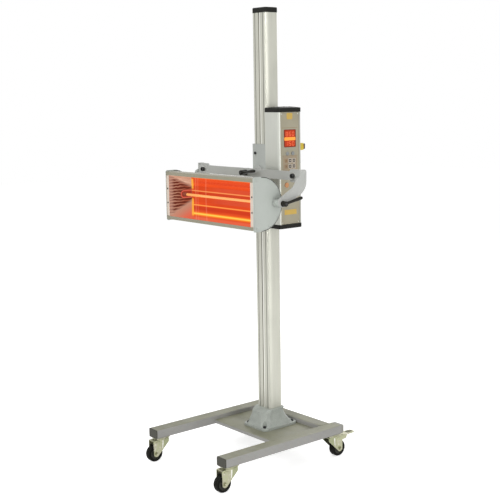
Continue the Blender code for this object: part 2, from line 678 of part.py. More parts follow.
def make_caster(label, x, y, way, pedal):
    """One swivel caster. way is +1 if its wheel trails towards +Y."""
    axis_at = (x, y, 0)
    plate_top = RAIL_BOTTOM - SEAT_GAP
    plate_low = plate_top - TOP_PLATE_THICKNESS
    race_low = plate_low - RACE_HEIGHT
    crown_top = race_low - SEAT_GAP
    crown_low = crown_top - FORK_SHEET
    pin_head_top = crown_low - SEAT_GAP
    plate = piece("caster_plate_" + label, moved(prism(
        rounded_rectangle(TOP_PLATE_WIDTH / 2, TOP_PLATE_LENGTH / 2, TOP_PLATE_CORNER), "xy",
        plate_low, plate_top), Matrix.Translation(axis_at)), "zinc_plate", stand)
    race = turned([(0, plate_low + TOP_PLATE_THICKNESS / 2),
                   (RACE_RADIUS - RACE_HEIGHT / 2, plate_low + TOP_PLATE_THICKNESS / 2),
                   (RACE_RADIUS - RACE_HEIGHT / 2, plate_low),
                   (RACE_RADIUS, plate_low - RACE_HEIGHT / 2),
                   (RACE_RADIUS, race_low), (KINGPIN_RADIUS, race_low),
                   (KINGPIN_RADIUS, pin_head_top), (KINGPIN_HEAD_RADIUS, pin_head_top),
                   (KINGPIN_HEAD_RADIUS, pin_head_top - KINGPIN_HEAD_HEIGHT / 2),
                   (KINGPIN_HEAD_RADIUS / 2, pin_head_top - KINGPIN_HEAD_HEIGHT),
                   (0, pin_head_top - KINGPIN_HEAD_HEIGHT)], (0, 0, 1), axis_at)
    fuse(plate, race, "raceway")

    axle_y = y + way * TRAIL
    leg_inner = HUB_WIDTH / 2 + FORK_SIDE_GAP
    leg_outer = leg_inner + FORK_SHEET
    skirt_low = crown_top - CROWN_SKIRT
    boss = (TRAIL, WHEEL_RADIUS)
    start = tangent_angle(boss, LEG_BOSS_RADIUS, (-CROWN_REAR, skirt_low), 0, 1)
    front = TRAIL + LEG_BOSS_RADIUS
    side = [(-CROWN_REAR, crown_top), (-CROWN_REAR, skirt_low)]
    side += arc(boss, LEG_BOSS_RADIUS, start, 360, BOSS_STEPS)
    side += arc((front - BEAD_BEND / 2, crown_top - BEAD_BEND / 2), BEAD_BEND / 2, 0, 90, EDGE_STEPS)
    outline = [(y + way * u, v) for u, v in side]
    fork = piece("caster_fork_" + label, moved(prism(outline, "yz", -leg_outer, leg_outer),
                                               Matrix.Translation((x, 0, 0))),
                 "zinc_plate", stand, (x, y, crown_top))
    inside_y = sorted((y - way * (CROWN_REAR + CUT_OVERRUN), y + way * (front + CUT_OVERRUN)))
    cut(fork, box((x - leg_inner, inside_y[0], WHEEL_RADIUS - LEG_BOSS_RADIUS - CUT_OVERRUN),
                  (x + leg_inner, inside_y[1], crown_low)), "wheel_space")
    fuse(fork, moved(prism(circle((0, 0), CROWN_RADIUS), "xy", crown_low, crown_top),
                     Matrix.Translation(axis_at)), "crown")
    beads = [fork_bead(x, y, way, sign, leg_outer, crown_top, front) for sign in (-1, 1)]
    fuse(fork, merged(beads), "beads")
    cut(fork, round_bar(KINGPIN_RADIUS + RUN_GAP, (0, 0, 1), axis_at, crown_low - CUT_OVERRUN,
                        crown_top + CUT_OVERRUN), "kingpin_hole")
    half_axle = leg_outer + AXLE_HEAD_HEIGHT
    axle_profile = [(0, -half_axle), (AXLE_HEAD_RADIUS, -half_axle), (AXLE_HEAD_RADIUS, -leg_outer),
                    (AXLE_RADIUS, -leg_outer), (AXLE_RADIUS, leg_outer), (AXLE_HEAD_RADIUS, leg_outer),
                    (AXLE_HEAD_RADIUS, half_axle), (0, half_axle)]
    fuse(fork, turned(axle_profile, (1, 0, 0), (x, axle_y, WHEEL_RADIUS), SMALL_STEPS), "axle_bolt")
    if pedal:
        pin_half = leg_inner + FORK_SHEET / 2
        pin_at = (x, y + way * PEDAL_PIVOT_REACH, WHEEL_RADIUS + PEDAL_PIVOT_RISE)
        fuse(fork, round_bar(PEDAL_PIN_RADIUS, (1, 0, 0), pin_at, -pin_half, pin_half, SMALL_STEPS),
             "pedal_pin")

    half_tread, half_hub, half_web = TREAD_WIDTH / 2, HUB_WIDTH / 2, WEB_THICKNESS / 2
    bore = AXLE_RADIUS + SEAT_GAP
    section = [(bore, -half_hub), (HUB_RADIUS, -half_hub), (HUB_RADIUS, -half_web),
               (RIM_RADIUS, -half_web), (RIM_RADIUS, -half_tread)]
    section += [(r, -w) for w, r in arc((half_tread - TREAD_ROUND, WHEEL_RADIUS - TREAD_ROUND),
                                        TREAD_ROUND, 0, 90, EDGE_STEPS)]
    groove_floor = WHEEL_RADIUS - TREAD_GROOVE_DEPTH
    near, far = TREAD_GROOVE_OFFSET - TREAD_GROOVE_WIDTH / 2, TREAD_GROOVE_OFFSET + TREAD_GROOVE_WIDTH / 2
    section += [(WHEEL_RADIUS, -far), (groove_floor, -far), (groove_floor, -near), (WHEEL_RADIUS, -near)]
    section += [(radius, -height) for radius, height in reversed(section)]
    centre = (x, axle_y, WHEEL_RADIUS)
    piece("caster_wheel_" + label, turned(section, (1, 0, 0), centre, WHEEL_STEPS, True),
          "black_rubber", fork, centre)
    if pedal:
        make_pedal(label, fork, x, y, way, leg_inner)


def fork_bead(x, y, way, sign, leg_outer, crown_top, front):
    """A half-round bead that runs along the top of a fork leg and down its rear side."""
    level = crown_top - BEAD_INSET
    rear = TRAIL - LEG_BOSS_RADIUS - BEAD_WIDTH
    path = [(front - BEAD_BEND, level)]
    path += arc((rear + BEAD_BEND, level - BEAD_BEND), BEAD_BEND, 90, 180, CORNER_STEPS)
    path += [(rear, WHEEL_RADIUS + LEG_BOSS_RADIUS)]
    root = -FORK_SHEET / 2
    section = [(across, share * BEAD_HEIGHT) for across, share in BEAD_SECTION_SHARES]
    section = [(section[0][0], root)] + section + [(section[-1][0], root)]
    loops = []
    for index, (u, v) in enumerate(path):
        before, after = path[max(index - 1, 0)], path[min(index + 1, len(path) - 1)]
        along = Vector((after[0] - before[0], after[1] - before[1])).normalized()
        loop = []
        for across, height in section:
            shift = across * BEAD_WIDTH / 2
            loop.append((x + sign * (leg_outer + height), y + way * (u - along.y * shift),
                         v + along.x * shift))
        loops.append(loop)
    return loft(loops)


def make_pedal(label, fork, x, y, way, leg_inner):
    """A brake pedal that rocks on the pin across the fork."""
    pivot_y, pivot_z = PEDAL_PIVOT_REACH, WHEEL_RADIUS + PEDAL_PIVOT_RISE
    boss = PEDAL_BOSS_RADIUS - SEAT_GAP
    half = PEDAL_THICKNESS / 2
    tip_z = pivot_z + PEDAL_TIP_RISE
    tread_start = TRAIL + LEG_BOSS_RADIUS + PEDAL_THICKNESS
    shoe = (SHOE_REACH - SHOE_LENGTH / 2, SHOE_REACH + SHOE_LENGTH / 2)
    side = arc((pivot_y, pivot_z), boss, 40, 320, BOSS_STEPS)
    side += [(shoe[0], pivot_z - half), (shoe[0], pivot_z - SHOE_DROP), (shoe[1], pivot_z - SHOE_DROP),
             (shoe[1], pivot_z - half)]
    flat_end = PEDAL_REACH - PEDAL_TREAD_CORNER
    side += [(flat_end, tip_z - half), (flat_end, tip_z + half), (tread_start, pivot_z + half)]
    half_width = min(PEDAL_WIDTH / 2, leg_inner - FORK_SIDE_GAP)
    pedal = piece("brake_pedal_" + label, moved(prism([(y + way * u, v) for u, v in side], "yz",
                                                      -half_width, half_width),
                                                Matrix.Translation((x, 0, 0))),
                  "zinc_plate", fork, (x, y + way * pivot_y, pivot_z))
    tread_y = sorted((y + way * tread_start, y + way * PEDAL_REACH))
    tread = rounded_rectangle(PEDAL_TREAD_WIDTH / 2, (tread_y[1] - tread_y[0]) / 2,
                              PEDAL_TREAD_CORNER, (x, sum(tread_y) / 2))
    fuse(pedal, prism(tread, "xy", tip_z - half, tip_z + half), "tread")
    cheek = [(tread_start, tip_z), (tread_start, pivot_z - CHEEK_DROP)]
    cheek += arc((CHEEK_REACH - CHEEK_DROP, pivot_z), CHEEK_DROP, -90, 0)
    cheek += [(CHEEK_REACH, tip_z)]
    cheek_outline = [(y + way * u, v) for u, v in cheek]
    outer = PEDAL_TREAD_WIDTH / 2 - FORK_SIDE_GAP
    inner = outer - CHEEK_THICKNESS
    fuse(pedal, merged([prism(cheek_outline, "yz", x - outer, x - inner),
                        prism(cheek_outline, "yz", x + inner, x + outer)]), "cheeks")
    reach = half_width + CUT_OVERRUN
    cut(pedal, round_bar(PEDAL_PIN_RADIUS + SEAT_GAP, (1, 0, 0), (x, y + way * pivot_y, pivot_z),
                         -reach, reach, SMALL_STEPS), "pin_hole")


def make_foot():
    """The cast foot: a flange, a rounded block that reaches forward, and a collar round the mast."""
    mast_u, mast_v = MAST_WIDTH / 2, MAST_DEPTH / 2
    collar_u, collar_v = mast_u + FOOT_COLLAR, mast_v + FOOT_COLLAR
    collar_corner = MAST_CORNER + FOOT_COLLAR / 2
    rise = FOOT_HEIGHT - FOOT_FLANGE
    chamfer_share = FOOT_BOLT_SINK / FOOT_WIDTH
    sections = [(1.0, 0, 0, FOOT_CORNER), (1.0, FOOT_FLANGE - FOOT_BOLT_SINK, 0, FOOT_CORNER),
                (1.0 - chamfer_share, FOOT_FLANGE, 0, FOOT_CORNER)]
    for step in range(FOOT_FLARE_STEPS):
        share = step / FOOT_FLARE_STEPS
        spread = FOOT_FLARE_SHARE * (1 - share) ** FOOT_FLARE_POWER
        sections.append((spread, FOOT_FLANGE + rise * share, FOOT_NOSE * (1 - spread), FOOT_NOSE_CORNER))
    sections.append((0, FOOT_HEIGHT, 0, collar_corner))
    loops = []
    for share, height, nose, corner in sections:
        half_u = collar_u + (FOOT_WIDTH / 2 - collar_u) * share
        half_v = collar_v + (FOOT_LENGTH / 2 - collar_v) * share + nose / 2
        outline = rounded_rectangle(half_u, half_v, corner, (0, -nose / 2))
        loops.append([(u, v, FOOT_BOTTOM + height) for u, v in outline])
    foot = piece("mast_foot", loft(loops), "cast_grey_paint", stand)
    socket = prism(rounded_rectangle(mast_u + SEAT_GAP, mast_v + SEAT_GAP, MAST_CORNER), "xy",
                   FOOT_BOTTOM + FOOT_FLOOR, FOOT_BOTTOM + FOOT_HEIGHT + CUT_OVERRUN)
    cut(foot, socket, "mast_socket")
    holes = []
    for sign_x in (-1, 1):
        for sign_y in (-1, 1):
            centre = (sign_x * FOOT_BOLT_X, sign_y * FOOT_BOLT_Y, FOOT_BOTTOM)
            seat = FOOT_FLANGE - FOOT_BOLT_SINK
            top = FOOT_HEIGHT / 2
            profile = [(0, -CUT_OVERRUN), (FOOT_BOLT_RADIUS, -CUT_OVERRUN), (FOOT_BOLT_RADIUS, seat),
                       (FOOT_BOLT_SINK_RADIUS, seat), (FOOT_BOLT_SINK_RADIUS, top), (0, top)]
            holes.append(turned(profile, (0, 0, 1), centre, SMALL_STEPS))
    cut(foot, merged(holes), "bolt_holes")


def mast_section():
    """Outline of the mast: a C with a lipped slot in its front face and two fine grooves."""
    half_u, half_v, slot = MAST_WIDTH / 2, MAST_DEPTH / 2, SLOT_WIDTH / 2
    inner_u, inner_v = half_u - MAST_WALL, half_v - MAST_WALL
    inner_corner = MAST_CORNER - MAST_WALL

    def groove(middle):
        near, far, floor = middle - GROOVE_WIDTH / 2, middle + GROOVE_WIDTH / 2, -half_v + GROOVE_DEPTH
        return [(near, -half_v), (near, floor), (far, floor), (far, -half_v)]

    outline = [(slot, -half_v)] + groove(GROOVE_OFFSET)
    outline += arc((half_u - MAST_CORNER, -half_v + MAST_CORNER), MAST_CORNER, -90, 0)
    outline += arc((half_u - MAST_CORNER, half_v - MAST_CORNER), MAST_CORNER, 0, 90)
    outline += arc((-half_u + MAST_CORNER, half_v - MAST_CORNER), MAST_CORNER, 90, 180)
    outline += arc((-half_u + MAST_CORNER, -half_v + MAST_CORNER), MAST_CORNER, 180, 270)
    lip_u, lip_v = slot + SLOT_LIP_THICKNESS, -half_v + SLOT_LIP
    outline += groove(-GROOVE_OFFSET)
    outline += [(-slot, -half_v), (-slot, lip_v), (-lip_u, lip_v), (-lip_u, -inner_v)]
    outline += arc((-inner_u + inner_corner, -inner_v + inner_corner), inner_corner, 270, 180)
    outline += arc((-inner_u + inner_corner, inner_v - inner_corner), inner_corner, 180, 90)
    outline += arc((inner_u - inner_corner, inner_v - inner_corner), inner_corner, 90, 0)
    outline += arc((inner_u - inner_corner, -inner_v + inner_corner), inner_corner, 0, -90)
    outline += [(lip_u, -inner_v), (lip_u, lip_v), (slot, lip_v)]
    return outline


def make_mast():
    piece("mast", prism(mast_section(), "xy", MAST_BOTTOM, MAST_TOP), "satin_aluminium", stand)
    base = MAST_TOP + SEAT_GAP
    cap = piece("mast_cap", capped_block(MAST_WIDTH / 2 + CAP_OVERHANG, MAST_DEPTH / 2 + CAP_OVERHANG,
                                         MAST_CORNER, CAP_ROUND, "xy", base, base + CAP_HEIGHT),
                "black_plastic", stand)
    rear = MAST_DEPTH / 2 - MAST_WALL - SEAT_GAP
    front = -MAST_DEPTH / 2 + SLOT_LIP + SEAT_GAP
    spigot = rounded_rectangle(MAST_WIDTH / 2 - MAST_WALL - SEAT_GAP, (rear - front) / 2,
                               MAST_CORNER - MAST_WALL, (0, (rear + front) / 2))
    fuse(cap, prism(spigot, "xy", MAST_TOP - CAP_SPIGOT, base + CAP_HEIGHT / 2), "spigot")


def make_balance_gear():
    """Pulley, cable and counterweight inside the mast."""
    bracket_top = MAST_TOP - CAP_SPIGOT - SEAT_GAP
    bracket_low = PULLEY_Z - BRACKET_TAIL
    cheek_inner = PULLEY_WIDTH / 2 + RUN_GAP
    cheek_outer = cheek_inner + BRACKET_SHEET
    front, rear = PULLEY_CENTRE_Y - BRACKET_DEPTH / 2, PULLEY_CENTRE_Y + BRACKET_DEPTH / 2
    bracket = piece("pulley_bracket", box((-cheek_outer, front, bracket_low),
                                          (cheek_outer, rear, bracket_top)), "steel", stand)
    cut(bracket, box((-cheek_inner, front - CUT_OVERRUN, bracket_low - CUT_OVERRUN),
                     (cheek_inner, rear + CUT_OVERRUN, bracket_top - BRACKET_SHEET)), "pulley_space")
    centre = (0, PULLEY_CENTRE_Y, PULLEY_Z)
    bore = PULLEY_AXLE_RADIUS + SEAT_GAP
    cut(bracket, round_bar(bore, (1, 0, 0), centre, -cheek_outer - CUT_OVERRUN, cheek_outer + CUT_OVERRUN),
        "axle_hole")
    half_axle = cheek_outer + BRACKET_SHEET
    piece("pulley_axle", round_bar(PULLEY_AXLE_RADIUS, (1, 0, 0), centre, -half_axle, half_axle),
          "steel", stand, centre)
    groove = CABLE_CIRCLE - CABLE_RADIUS - SEAT_GAP
    half = PULLEY_WIDTH / 2
    floor = CABLE_RADIUS + SEAT_GAP
    rim = [(bore, -half), (PULLEY_RADIUS, -half), (groove, -floor), (groove, floor),
           (PULLEY_RADIUS, half), (bore, half)]
    piece("cable_pulley", turned(rim, (1, 0, 0), centre, ROUND_STEPS, True), "black_plastic", stand,
          centre)

    weight_top = WEIGHT_BOTTOM + WEIGHT_HEIGHT
    weight_at = (0, CABLE_REAR_Y, 0)
    block = capped_block(WEIGHT_WIDTH / 2, WEIGHT_DEPTH / 2, WEIGHT_ROUND, WEIGHT_ROUND / 2, "xy",
                         WEIGHT_BOTTOM, weight_top)
    weight = piece("counterweight", moved(block, Matrix.Translation(weight_at)), "steel", stand,
                   (0, CABLE_REAR_Y, WEIGHT_BOTTOM))
    fuse(weight, round_bar(WEIGHT_EYE_RADIUS, (0, 0, 1), weight_at, weight_top - WEIGHT_EYE_HEIGHT,
                           weight_top + WEIGHT_EYE_HEIGHT), "eye")
    bore = CABLE_RADIUS + SEAT_GAP
    cut(weight, round_bar(bore, (0, 0, 1), weight_at, weight_top - SEAT_GAP,
                          weight_top + WEIGHT_EYE_HEIGHT + CUT_OVERRUN, SMALL_STEPS), "cable_hole")

    clamp_low, clamp_top = CLAMP_Z - CLAMP_HEIGHT / 2, CLAMP_Z + CLAMP_HEIGHT / 2
    clamp_face = -MAST_DEPTH / 2 - RUN_GAP + SEAT_GAP
    neck, nose = CLAMP_NECK_WIDTH / 2, CLAMP_NOSE_WIDTH / 2
    clamp_rear = CABLE_FRONT_Y + CLAMP_TAIL
    nose_front = clamp_rear - CLAMP_NOSE
    outline = [(-neck, clamp_face), (neck, clamp_face), (neck, nose_front), (nose, nose_front),
               (nose, clamp_rear), (-nose, clamp_rear), (-nose, nose_front), (-neck, nose_front)]
    clamp = piece("cable_clamp", prism(outline, "xy", clamp_low, clamp_top), "steel", carriage_slide)
    cable_end = clamp_low + CLAMP_HEIGHT / 4
    cut(clamp, round_bar(bore, (0, 0, 1), (0, CABLE_FRONT_Y, 0), cable_end - SEAT_GAP,
                         clamp_top + CUT_OVERRUN, SMALL_STEPS), "cable_hole")
    make_cable(cable_end, weight_top)


def make_cable(front_end, rear_end):
    """The lifting cable, from the clamp up over the pulley and down to the counterweight."""
    curve = bpy.data.curves.new("lift_cable", "CURVE")
    curve.dimensions = "3D"
    curve.bevel_depth = CABLE_RADIUS
    curve.bevel_resolution = 1
    curve.use_fill_caps = True
    route = [(CABLE_FRONT_Y, front_end)]
    route += arc((PULLEY_CENTRE_Y, PULLEY_Z), CABLE_CIRCLE, 180, 0, SMALL_STEPS)
    route += [(CABLE_REAR_Y, rear_end)]
    spline = curve.splines.new("POLY")
    spline.points.add(len(route) - 1)
    for point, (y, z) in zip(spline.points, route):
        point.co = (0, y, z, 1)
    cable = bpy.data.objects.new("lift_cable", curve)
    cable.data.materials.append(finish("lift_cable", "steel"))
    cable.parent = stand
    bpy.context.collection.objects.link(cable)


def make_carriage():
    """The sleeve round the mast, and the spindle that carries the yoke."""
    inner_u, inner_v = MAST_WIDTH / 2 + RUN_GAP, MAST_DEPTH / 2 + RUN_GAP
    piece("carriage", hollow_prism(
        rounded_rectangle(CARRIAGE_HALF_X, CARRIAGE_HALF_Y, CARRIAGE_CORNER),
        rounded_rectangle(inner_u, inner_v, MAST_CORNER), "xy", CARRIAGE_BOTTOM, CARRIAGE_TOP),
        "light_grey_paint", carriage_slide)
    start = -CARRIAGE_HALF_Y - SEAT_GAP
    length = start - BAR_REAR - SEAT_GAP
    stud_end = length + SEAT_GAP + BAR_THICKNESS + STUD_REACH
    spindle = [(0, 0), (SPINDLE_FLANGE_RADIUS, 0), (SPINDLE_FLANGE_RADIUS, SPINDLE_FLANGE),
               (SPINDLE_RADIUS, SPINDLE_FLANGE), (SPINDLE_RADIUS, length - SPINDLE_COLLAR),
               (SPINDLE_COLLAR_RADIUS, length - SPINDLE_COLLAR), (SPINDLE_COLLAR_RADIUS, length),
               (STUD_RADIUS, length), (STUD_RADIUS, stud_end), (0, stud_end)]
    centre = (0, start, YOKE_HEIGHT)
    piece("yoke_spindle", turned(spindle, (0, -1, 0), centre), "light_grey_paint", carriage_slide, centre)


def arm_outline():
    """Side outline of a yoke arm in Y and Z: a sickle from the bar to the tilt axis."""
    back_y = BAR_FRONT + ARM_BACK_REACH
    top_z = YOKE_HEIGHT + ARM_TOP_RISE
    heel = (back_y - ARM_HEEL_RADIUS, YOKE_HEIGHT - ARM_HEEL_DROP)
    tip = (TILT_Y, TILT_Z + ARM_TIP_RISE)
    inner = (TILT_Y + ARM_INNER_FORWARD, TILT_Z + ARM_INNER_RISE)
    lower = tangent_angle(heel, ARM_HEEL_RADIUS, tip, ARM_TIP_RADIUS, 1)
    upper = tangent_angle(tip, ARM_TIP_RADIUS, inner, -ARM_INNER_RADIUS, 1)
    outline = [(BAR_FRONT, top_z)]
    outline += arc((back_y - ARM_CORNER, top_z - ARM_CORNER), ARM_CORNER, 90, 0)
    outline += arc(heel, ARM_HEEL_RADIUS, 0, lower, ARM_STEPS)
    outline += arc(tip, ARM_TIP_RADIUS, lower, upper - 360, ARM_STEPS)
    outline += arc(inner, ARM_INNER_RADIUS, upper - 180, ARM_INNER_END, ARM_STEPS)
    outline += [(BAR_FRONT, YOKE_HEIGHT)]
    return outline


def make_yoke():
    """The yoke bar and its two arms. The arms' flanges lie behind the bar."""
    half_bar = BAR_HEIGHT / 2
    bar = piece("yoke_bar", prism(rounded_rectangle(YOKE_HALF_LENGTH, half_bar, BAR_CORNER,
                                                    (0, YOKE_HEIGHT)), "xz", BAR_FRONT, BAR_REAR),
                "light_grey_paint", yoke_swivel)
    bolt_x = YOKE_HALF_LENGTH - ARM_BOLT_INSET
    cut_front, cut_rear = BAR_FRONT - CUT_OVERRUN, BAR_REAR + CUT_OVERRUN
    holes = [round_bar(STUD_RADIUS + SEAT_GAP, (0, 1, 0), (0, 0, YOKE_HEIGHT), cut_front, cut_rear)]
    for sign in (-1, 1):
        holes.append(round_bar(ARM_BOLT_HOLE_RADIUS, (0, 1, 0), (sign * bolt_x, 0, YOKE_HEIGHT),
                               cut_front, cut_rear, SMALL_STEPS))
    cut(bar, merged(holes), "holes")

    flange_front = BAR_REAR + SEAT_GAP
    flange_rear = flange_front + ARM_THICKNESS
    flange_height = ARM_TOP_RISE + ARM_FLANGE_DROP
    for side, sign in (("left", -1), ("right", 1)):
        low_x, high_x = sorted((sign * ARM_INNER_X, sign * ARM_OUTER_X))
        arm = piece("yoke_arm_" + side, prism(arm_outline(), "yz", low_x, high_x), "light_grey_paint",
                    yoke_swivel)
        inner_end = YOKE_HALF_LENGTH - ARM_FLANGE_LENGTH
        outer_end = ARM_OUTER_X - ARM_THICKNESS / 2
        middle = (sign * (inner_end + outer_end) / 2, YOKE_HEIGHT + (ARM_TOP_RISE - ARM_FLANGE_DROP) / 2)
        flange = rounded_rectangle((outer_end - inner_end) / 2, flange_height / 2, ARM_CORNER, middle)
        fuse(arm, prism(flange, "xz", flange_front, flange_rear), "flange")
        cut(arm, merged([
            round_bar(ARM_BOLT_HOLE_RADIUS, (0, 1, 0), (sign * bolt_x, 0, YOKE_HEIGHT),
                      flange_front - CUT_OVERRUN, flange_rear + CUT_OVERRUN, SMALL_STEPS),
            round_bar(STUD_RADIUS + SEAT_GAP, (1, 0, 0), (0, TILT_Y, TILT_Z),
                      low_x - CUT_OVERRUN, high_x + CUT_OVERRUN)]), "holes")


def make_lever(name, base, axis, towards, angle, length, hub_height):
    """A clamp lever: a bored hub and a grip that rises outwards from it."""
    bore = STUD_RADIUS + SEAT_GAP
    depth = STUD_REACH + SEAT_GAP
    top_radius = LEVER_HUB_RADIUS - LEVER_HUB_TAPER
    matrix = axis_frame(axis, base, towards) @ Matrix.Rotation(math.radians(angle), 4, "Z")
    hub_profile = [(0, depth), (bore, depth), (bore, 0), (LEVER_HUB_RADIUS, 0),
                   (top_radius, hub_height - LEVER_HUB_TAPER),
                   (top_radius - LEVER_HUB_TAPER, hub_height), (0, hub_height)]
    hub = moved(turned(hub_profile, (0, 0, 1), (0, 0, 0)), matrix)
    lever = piece(name, hub, "black_plastic", yoke_swivel, base)
    root_height = hub_height - LEVER_GRIP_THICKNESS / 2 - LEVER_HUB_TAPER
    grip_start = top_radius / 2
    loops = []
    for along_share, size_share, rise_share in LEVER_STATION_SHARES:
        x = grip_start + (length - grip_start) * along_share
        z = root_height + LEVER_RISE * rise_share
        loop = [matrix @ Vector((x, u * size_share, z + v * size_share))
                for u, v in ellipse(LEVER_GRIP_WIDTH / 2, LEVER_GRIP_THICKNESS / 2)]
        loops.append(loop)
    fuse(lever, loft(loops), "grip")


def ellipse(half_u, half_v):
    steps = SMALL_STEPS
    return [(half_u * math.cos(2 * math.pi * step / steps), half_v * math.sin(2 * math.pi * step / steps))
            for step in range(steps)]


def lamp_side(radius, front, corner):
    """Side outline of the cassette in Y and Z: straight front, round back."""
    outline = arc((LAMP_ROUND_Y, TILT_Z), radius, -90, 90, BACK_STEPS)
    outline += arc((front + corner, TILT_Z + radius - corner), corner, 90, 180)
    outline += arc((front + corner, TILT_Z - radius + corner), corner, 180, 270)
    return outline


def housing_skin(offset):
    """One face of the folded housing sheet, from the upper lip round the back to the lower lip."""
    radius = HOUSING_RADIUS - offset
    front = HOUSING_FRONT_Y + offset
    bend = HOUSING_BEND - offset
    lip = HOUSING_RADIUS - HOUSING_LIP
    points = [(front, TILT_Z + lip)]
    points += arc((front + bend, TILT_Z + radius - bend), bend, 180, 90)
    points += arc((LAMP_ROUND_Y, TILT_Z), radius, 90, -90, BACK_STEPS)
    points += arc((front + bend, TILT_Z - radius + bend), bend, -90, -180)
    points.append((front, TILT_Z - lip))
    return points


def make_housing():
    outline = housing_skin(0) + list(reversed(housing_skin(HOUSING_SHEET)))
    housing = piece("lamp_housing", prism(outline, "yz", -HOUSING_HALF_LENGTH, HOUSING_HALF_LENGTH),
                    "olive_grey_paint", lamp_tilt)
    slot_outline = rounded_rectangle(VENT_LENGTH / 2, VENT_HEIGHT / 2, VENT_HEIGHT / 2, (0, 0), EDGE_STEPS)
    slots = []
    for angle in VENT_ANGLES:
        turn = Matrix.Rotation(math.radians(angle), 4, "X")
        for index in range(VENT_COUNT):
            x = (index - (VENT_COUNT - 1) / 2) * VENT_PITCH
            slot = prism(slot_outline, "xz", HOUSING_RADIUS - HOUSING_SHEET - CUT_OVERRUN,
                         HOUSING_RADIUS + CUT_OVERRUN)
            slots.append(moved(slot, Matrix.Translation((x, LAMP_ROUND_Y, TILT_Z)) @ turn))
    cut(housing, merged(slots), "vents")


def make_end_plates():
    """The D-shaped end plates, each with the boss that carries the tilt pivot."""
    for side, sign in (("left", -1), ("right", 1)):
        sections = [(0, LAMP_HALF_LENGTH - END_PLATE_THICKNESS), (0, LAMP_HALF_LENGTH - END_PLATE_EDGE),
                    (END_PLATE_EDGE, LAMP_HALF_LENGTH)]
        loops = []
        for inset, level in sections:
            outline = lamp_side(END_PLATE_RADIUS - inset, LAMP_FRONT_Y + inset, END_PLATE_CORNER - inset)
            loops.append([(sign * level, v, w) for v, w in outline])
        plate = piece("end_plate_" + side, loft(loops), "light_grey_paint", lamp_tilt)
        ring = [lamp_side(END_PLATE_RADIUS - inset, LAMP_FRONT_Y + inset, END_PLATE_CORNER - inset / 2)
                for inset in (END_GROOVE_INSET, END_GROOVE_INSET + END_GROOVE_WIDTH)]
        levels = sorted((sign * (LAMP_HALF_LENGTH - END_GROOVE_DEPTH),
                         sign * (LAMP_HALF_LENGTH + CUT_OVERRUN)))
        cut(plate, hollow_prism(ring[0], ring[1], "yz", *levels), "edge_groove")
        root = END_PLATE_THICKNESS / 2
        boss_end = root + ARM_INNER_X - LAMP_HALF_LENGTH - SEAT_GAP
        profile = [(0, 0), (PIVOT_BOSS_RADIUS, 0), (PIVOT_BOSS_RADIUS, boss_end - PIVOT_BOSS_CHAMFER),
                   (PIVOT_BOSS_RADIUS - PIVOT_BOSS_CHAMFER, boss_end)]
        if sign > 0:
            stud_end = boss_end + SEAT_GAP + ARM_THICKNESS + STUD_REACH
            profile += [(STUD_RADIUS, boss_end), (STUD_RADIUS, stud_end), (0, stud_end)]
        else:
            profile += [(0, boss_end)]
        boss_at = (sign * (LAMP_HALF_LENGTH - root), TILT_Y, TILT_Z)
        fuse(plate, turned(profile, (sign, 0, 0), boss_at), "boss")
        if sign < 0:
            face = ARM_INNER_X - SEAT_GAP
            cut(plate, round_bar(STUD_RADIUS + SEAT_GAP, (1, 0, 0), (0, TILT_Y, TILT_Z),
                                 -face - CUT_OVERRUN, -face + PIVOT_BORE_DEPTH, SMALL_STEPS), "bolt_bore")
    shank = ARM_THICKNESS + PIVOT_BORE_DEPTH
    head_base = -ARM_OUTER_X - SEAT_GAP
    bolt = turned([(0, -shank), (STUD_RADIUS, -shank), (STUD_RADIUS, 0), (PIVOT_BOLT_HEAD_RADIUS, 0),
                   (PIVOT_BOLT_HEAD_RADIUS, PIVOT_BOLT_HEAD - PIVOT_BOSS_CHAMFER),
                   (PIVOT_BOLT_HEAD_RADIUS - PIVOT_BOSS_CHAMFER, PIVOT_BOLT_HEAD), (0, PIVOT_BOLT_HEAD)],
                  (-1, 0, 0), (head_base, TILT_Y, TILT_Z))
    piece("pivot_bolt", bolt, "black_plastic", lamp_tilt)


def reflector_side(inset, overrun):
    """Half-open trapezoid of the reflector tray in Y and Z, drawn in by the sheet's thickness."""
    slope = math.atan2(REFLECTOR_MOUTH - REFLECTOR_BACK, REFLECTOR_DEPTH)
    mouth = REFLECTOR_MOUTH - inset / math.cos(slope)
    back_y = MOUTH_Y + REFLECTOR_DEPTH - inset
    back = mouth - (REFLECTOR_DEPTH - inset) * math.tan(slope)
    front_y = MOUTH_Y - overrun
    front = mouth + overrun * math.tan(slope)
    bend = REFLECTOR_BEND - inset
    turn = 90 - math.degrees(slope)
    set_back = bend * math.tan(math.radians(turn / 2))
    centre_y, centre_z = back_y - bend, back - set_back
    outline = [(front_y, TILT_Z - front)]
    outline += arc((centre_y, TILT_Z - centre_z), bend, -turn, 0, 3)
    outline += arc((centre_y, TILT_Z + centre_z), bend, 0, turn, 3)
    outline += [(front_y, TILT_Z + front)]
    return outline


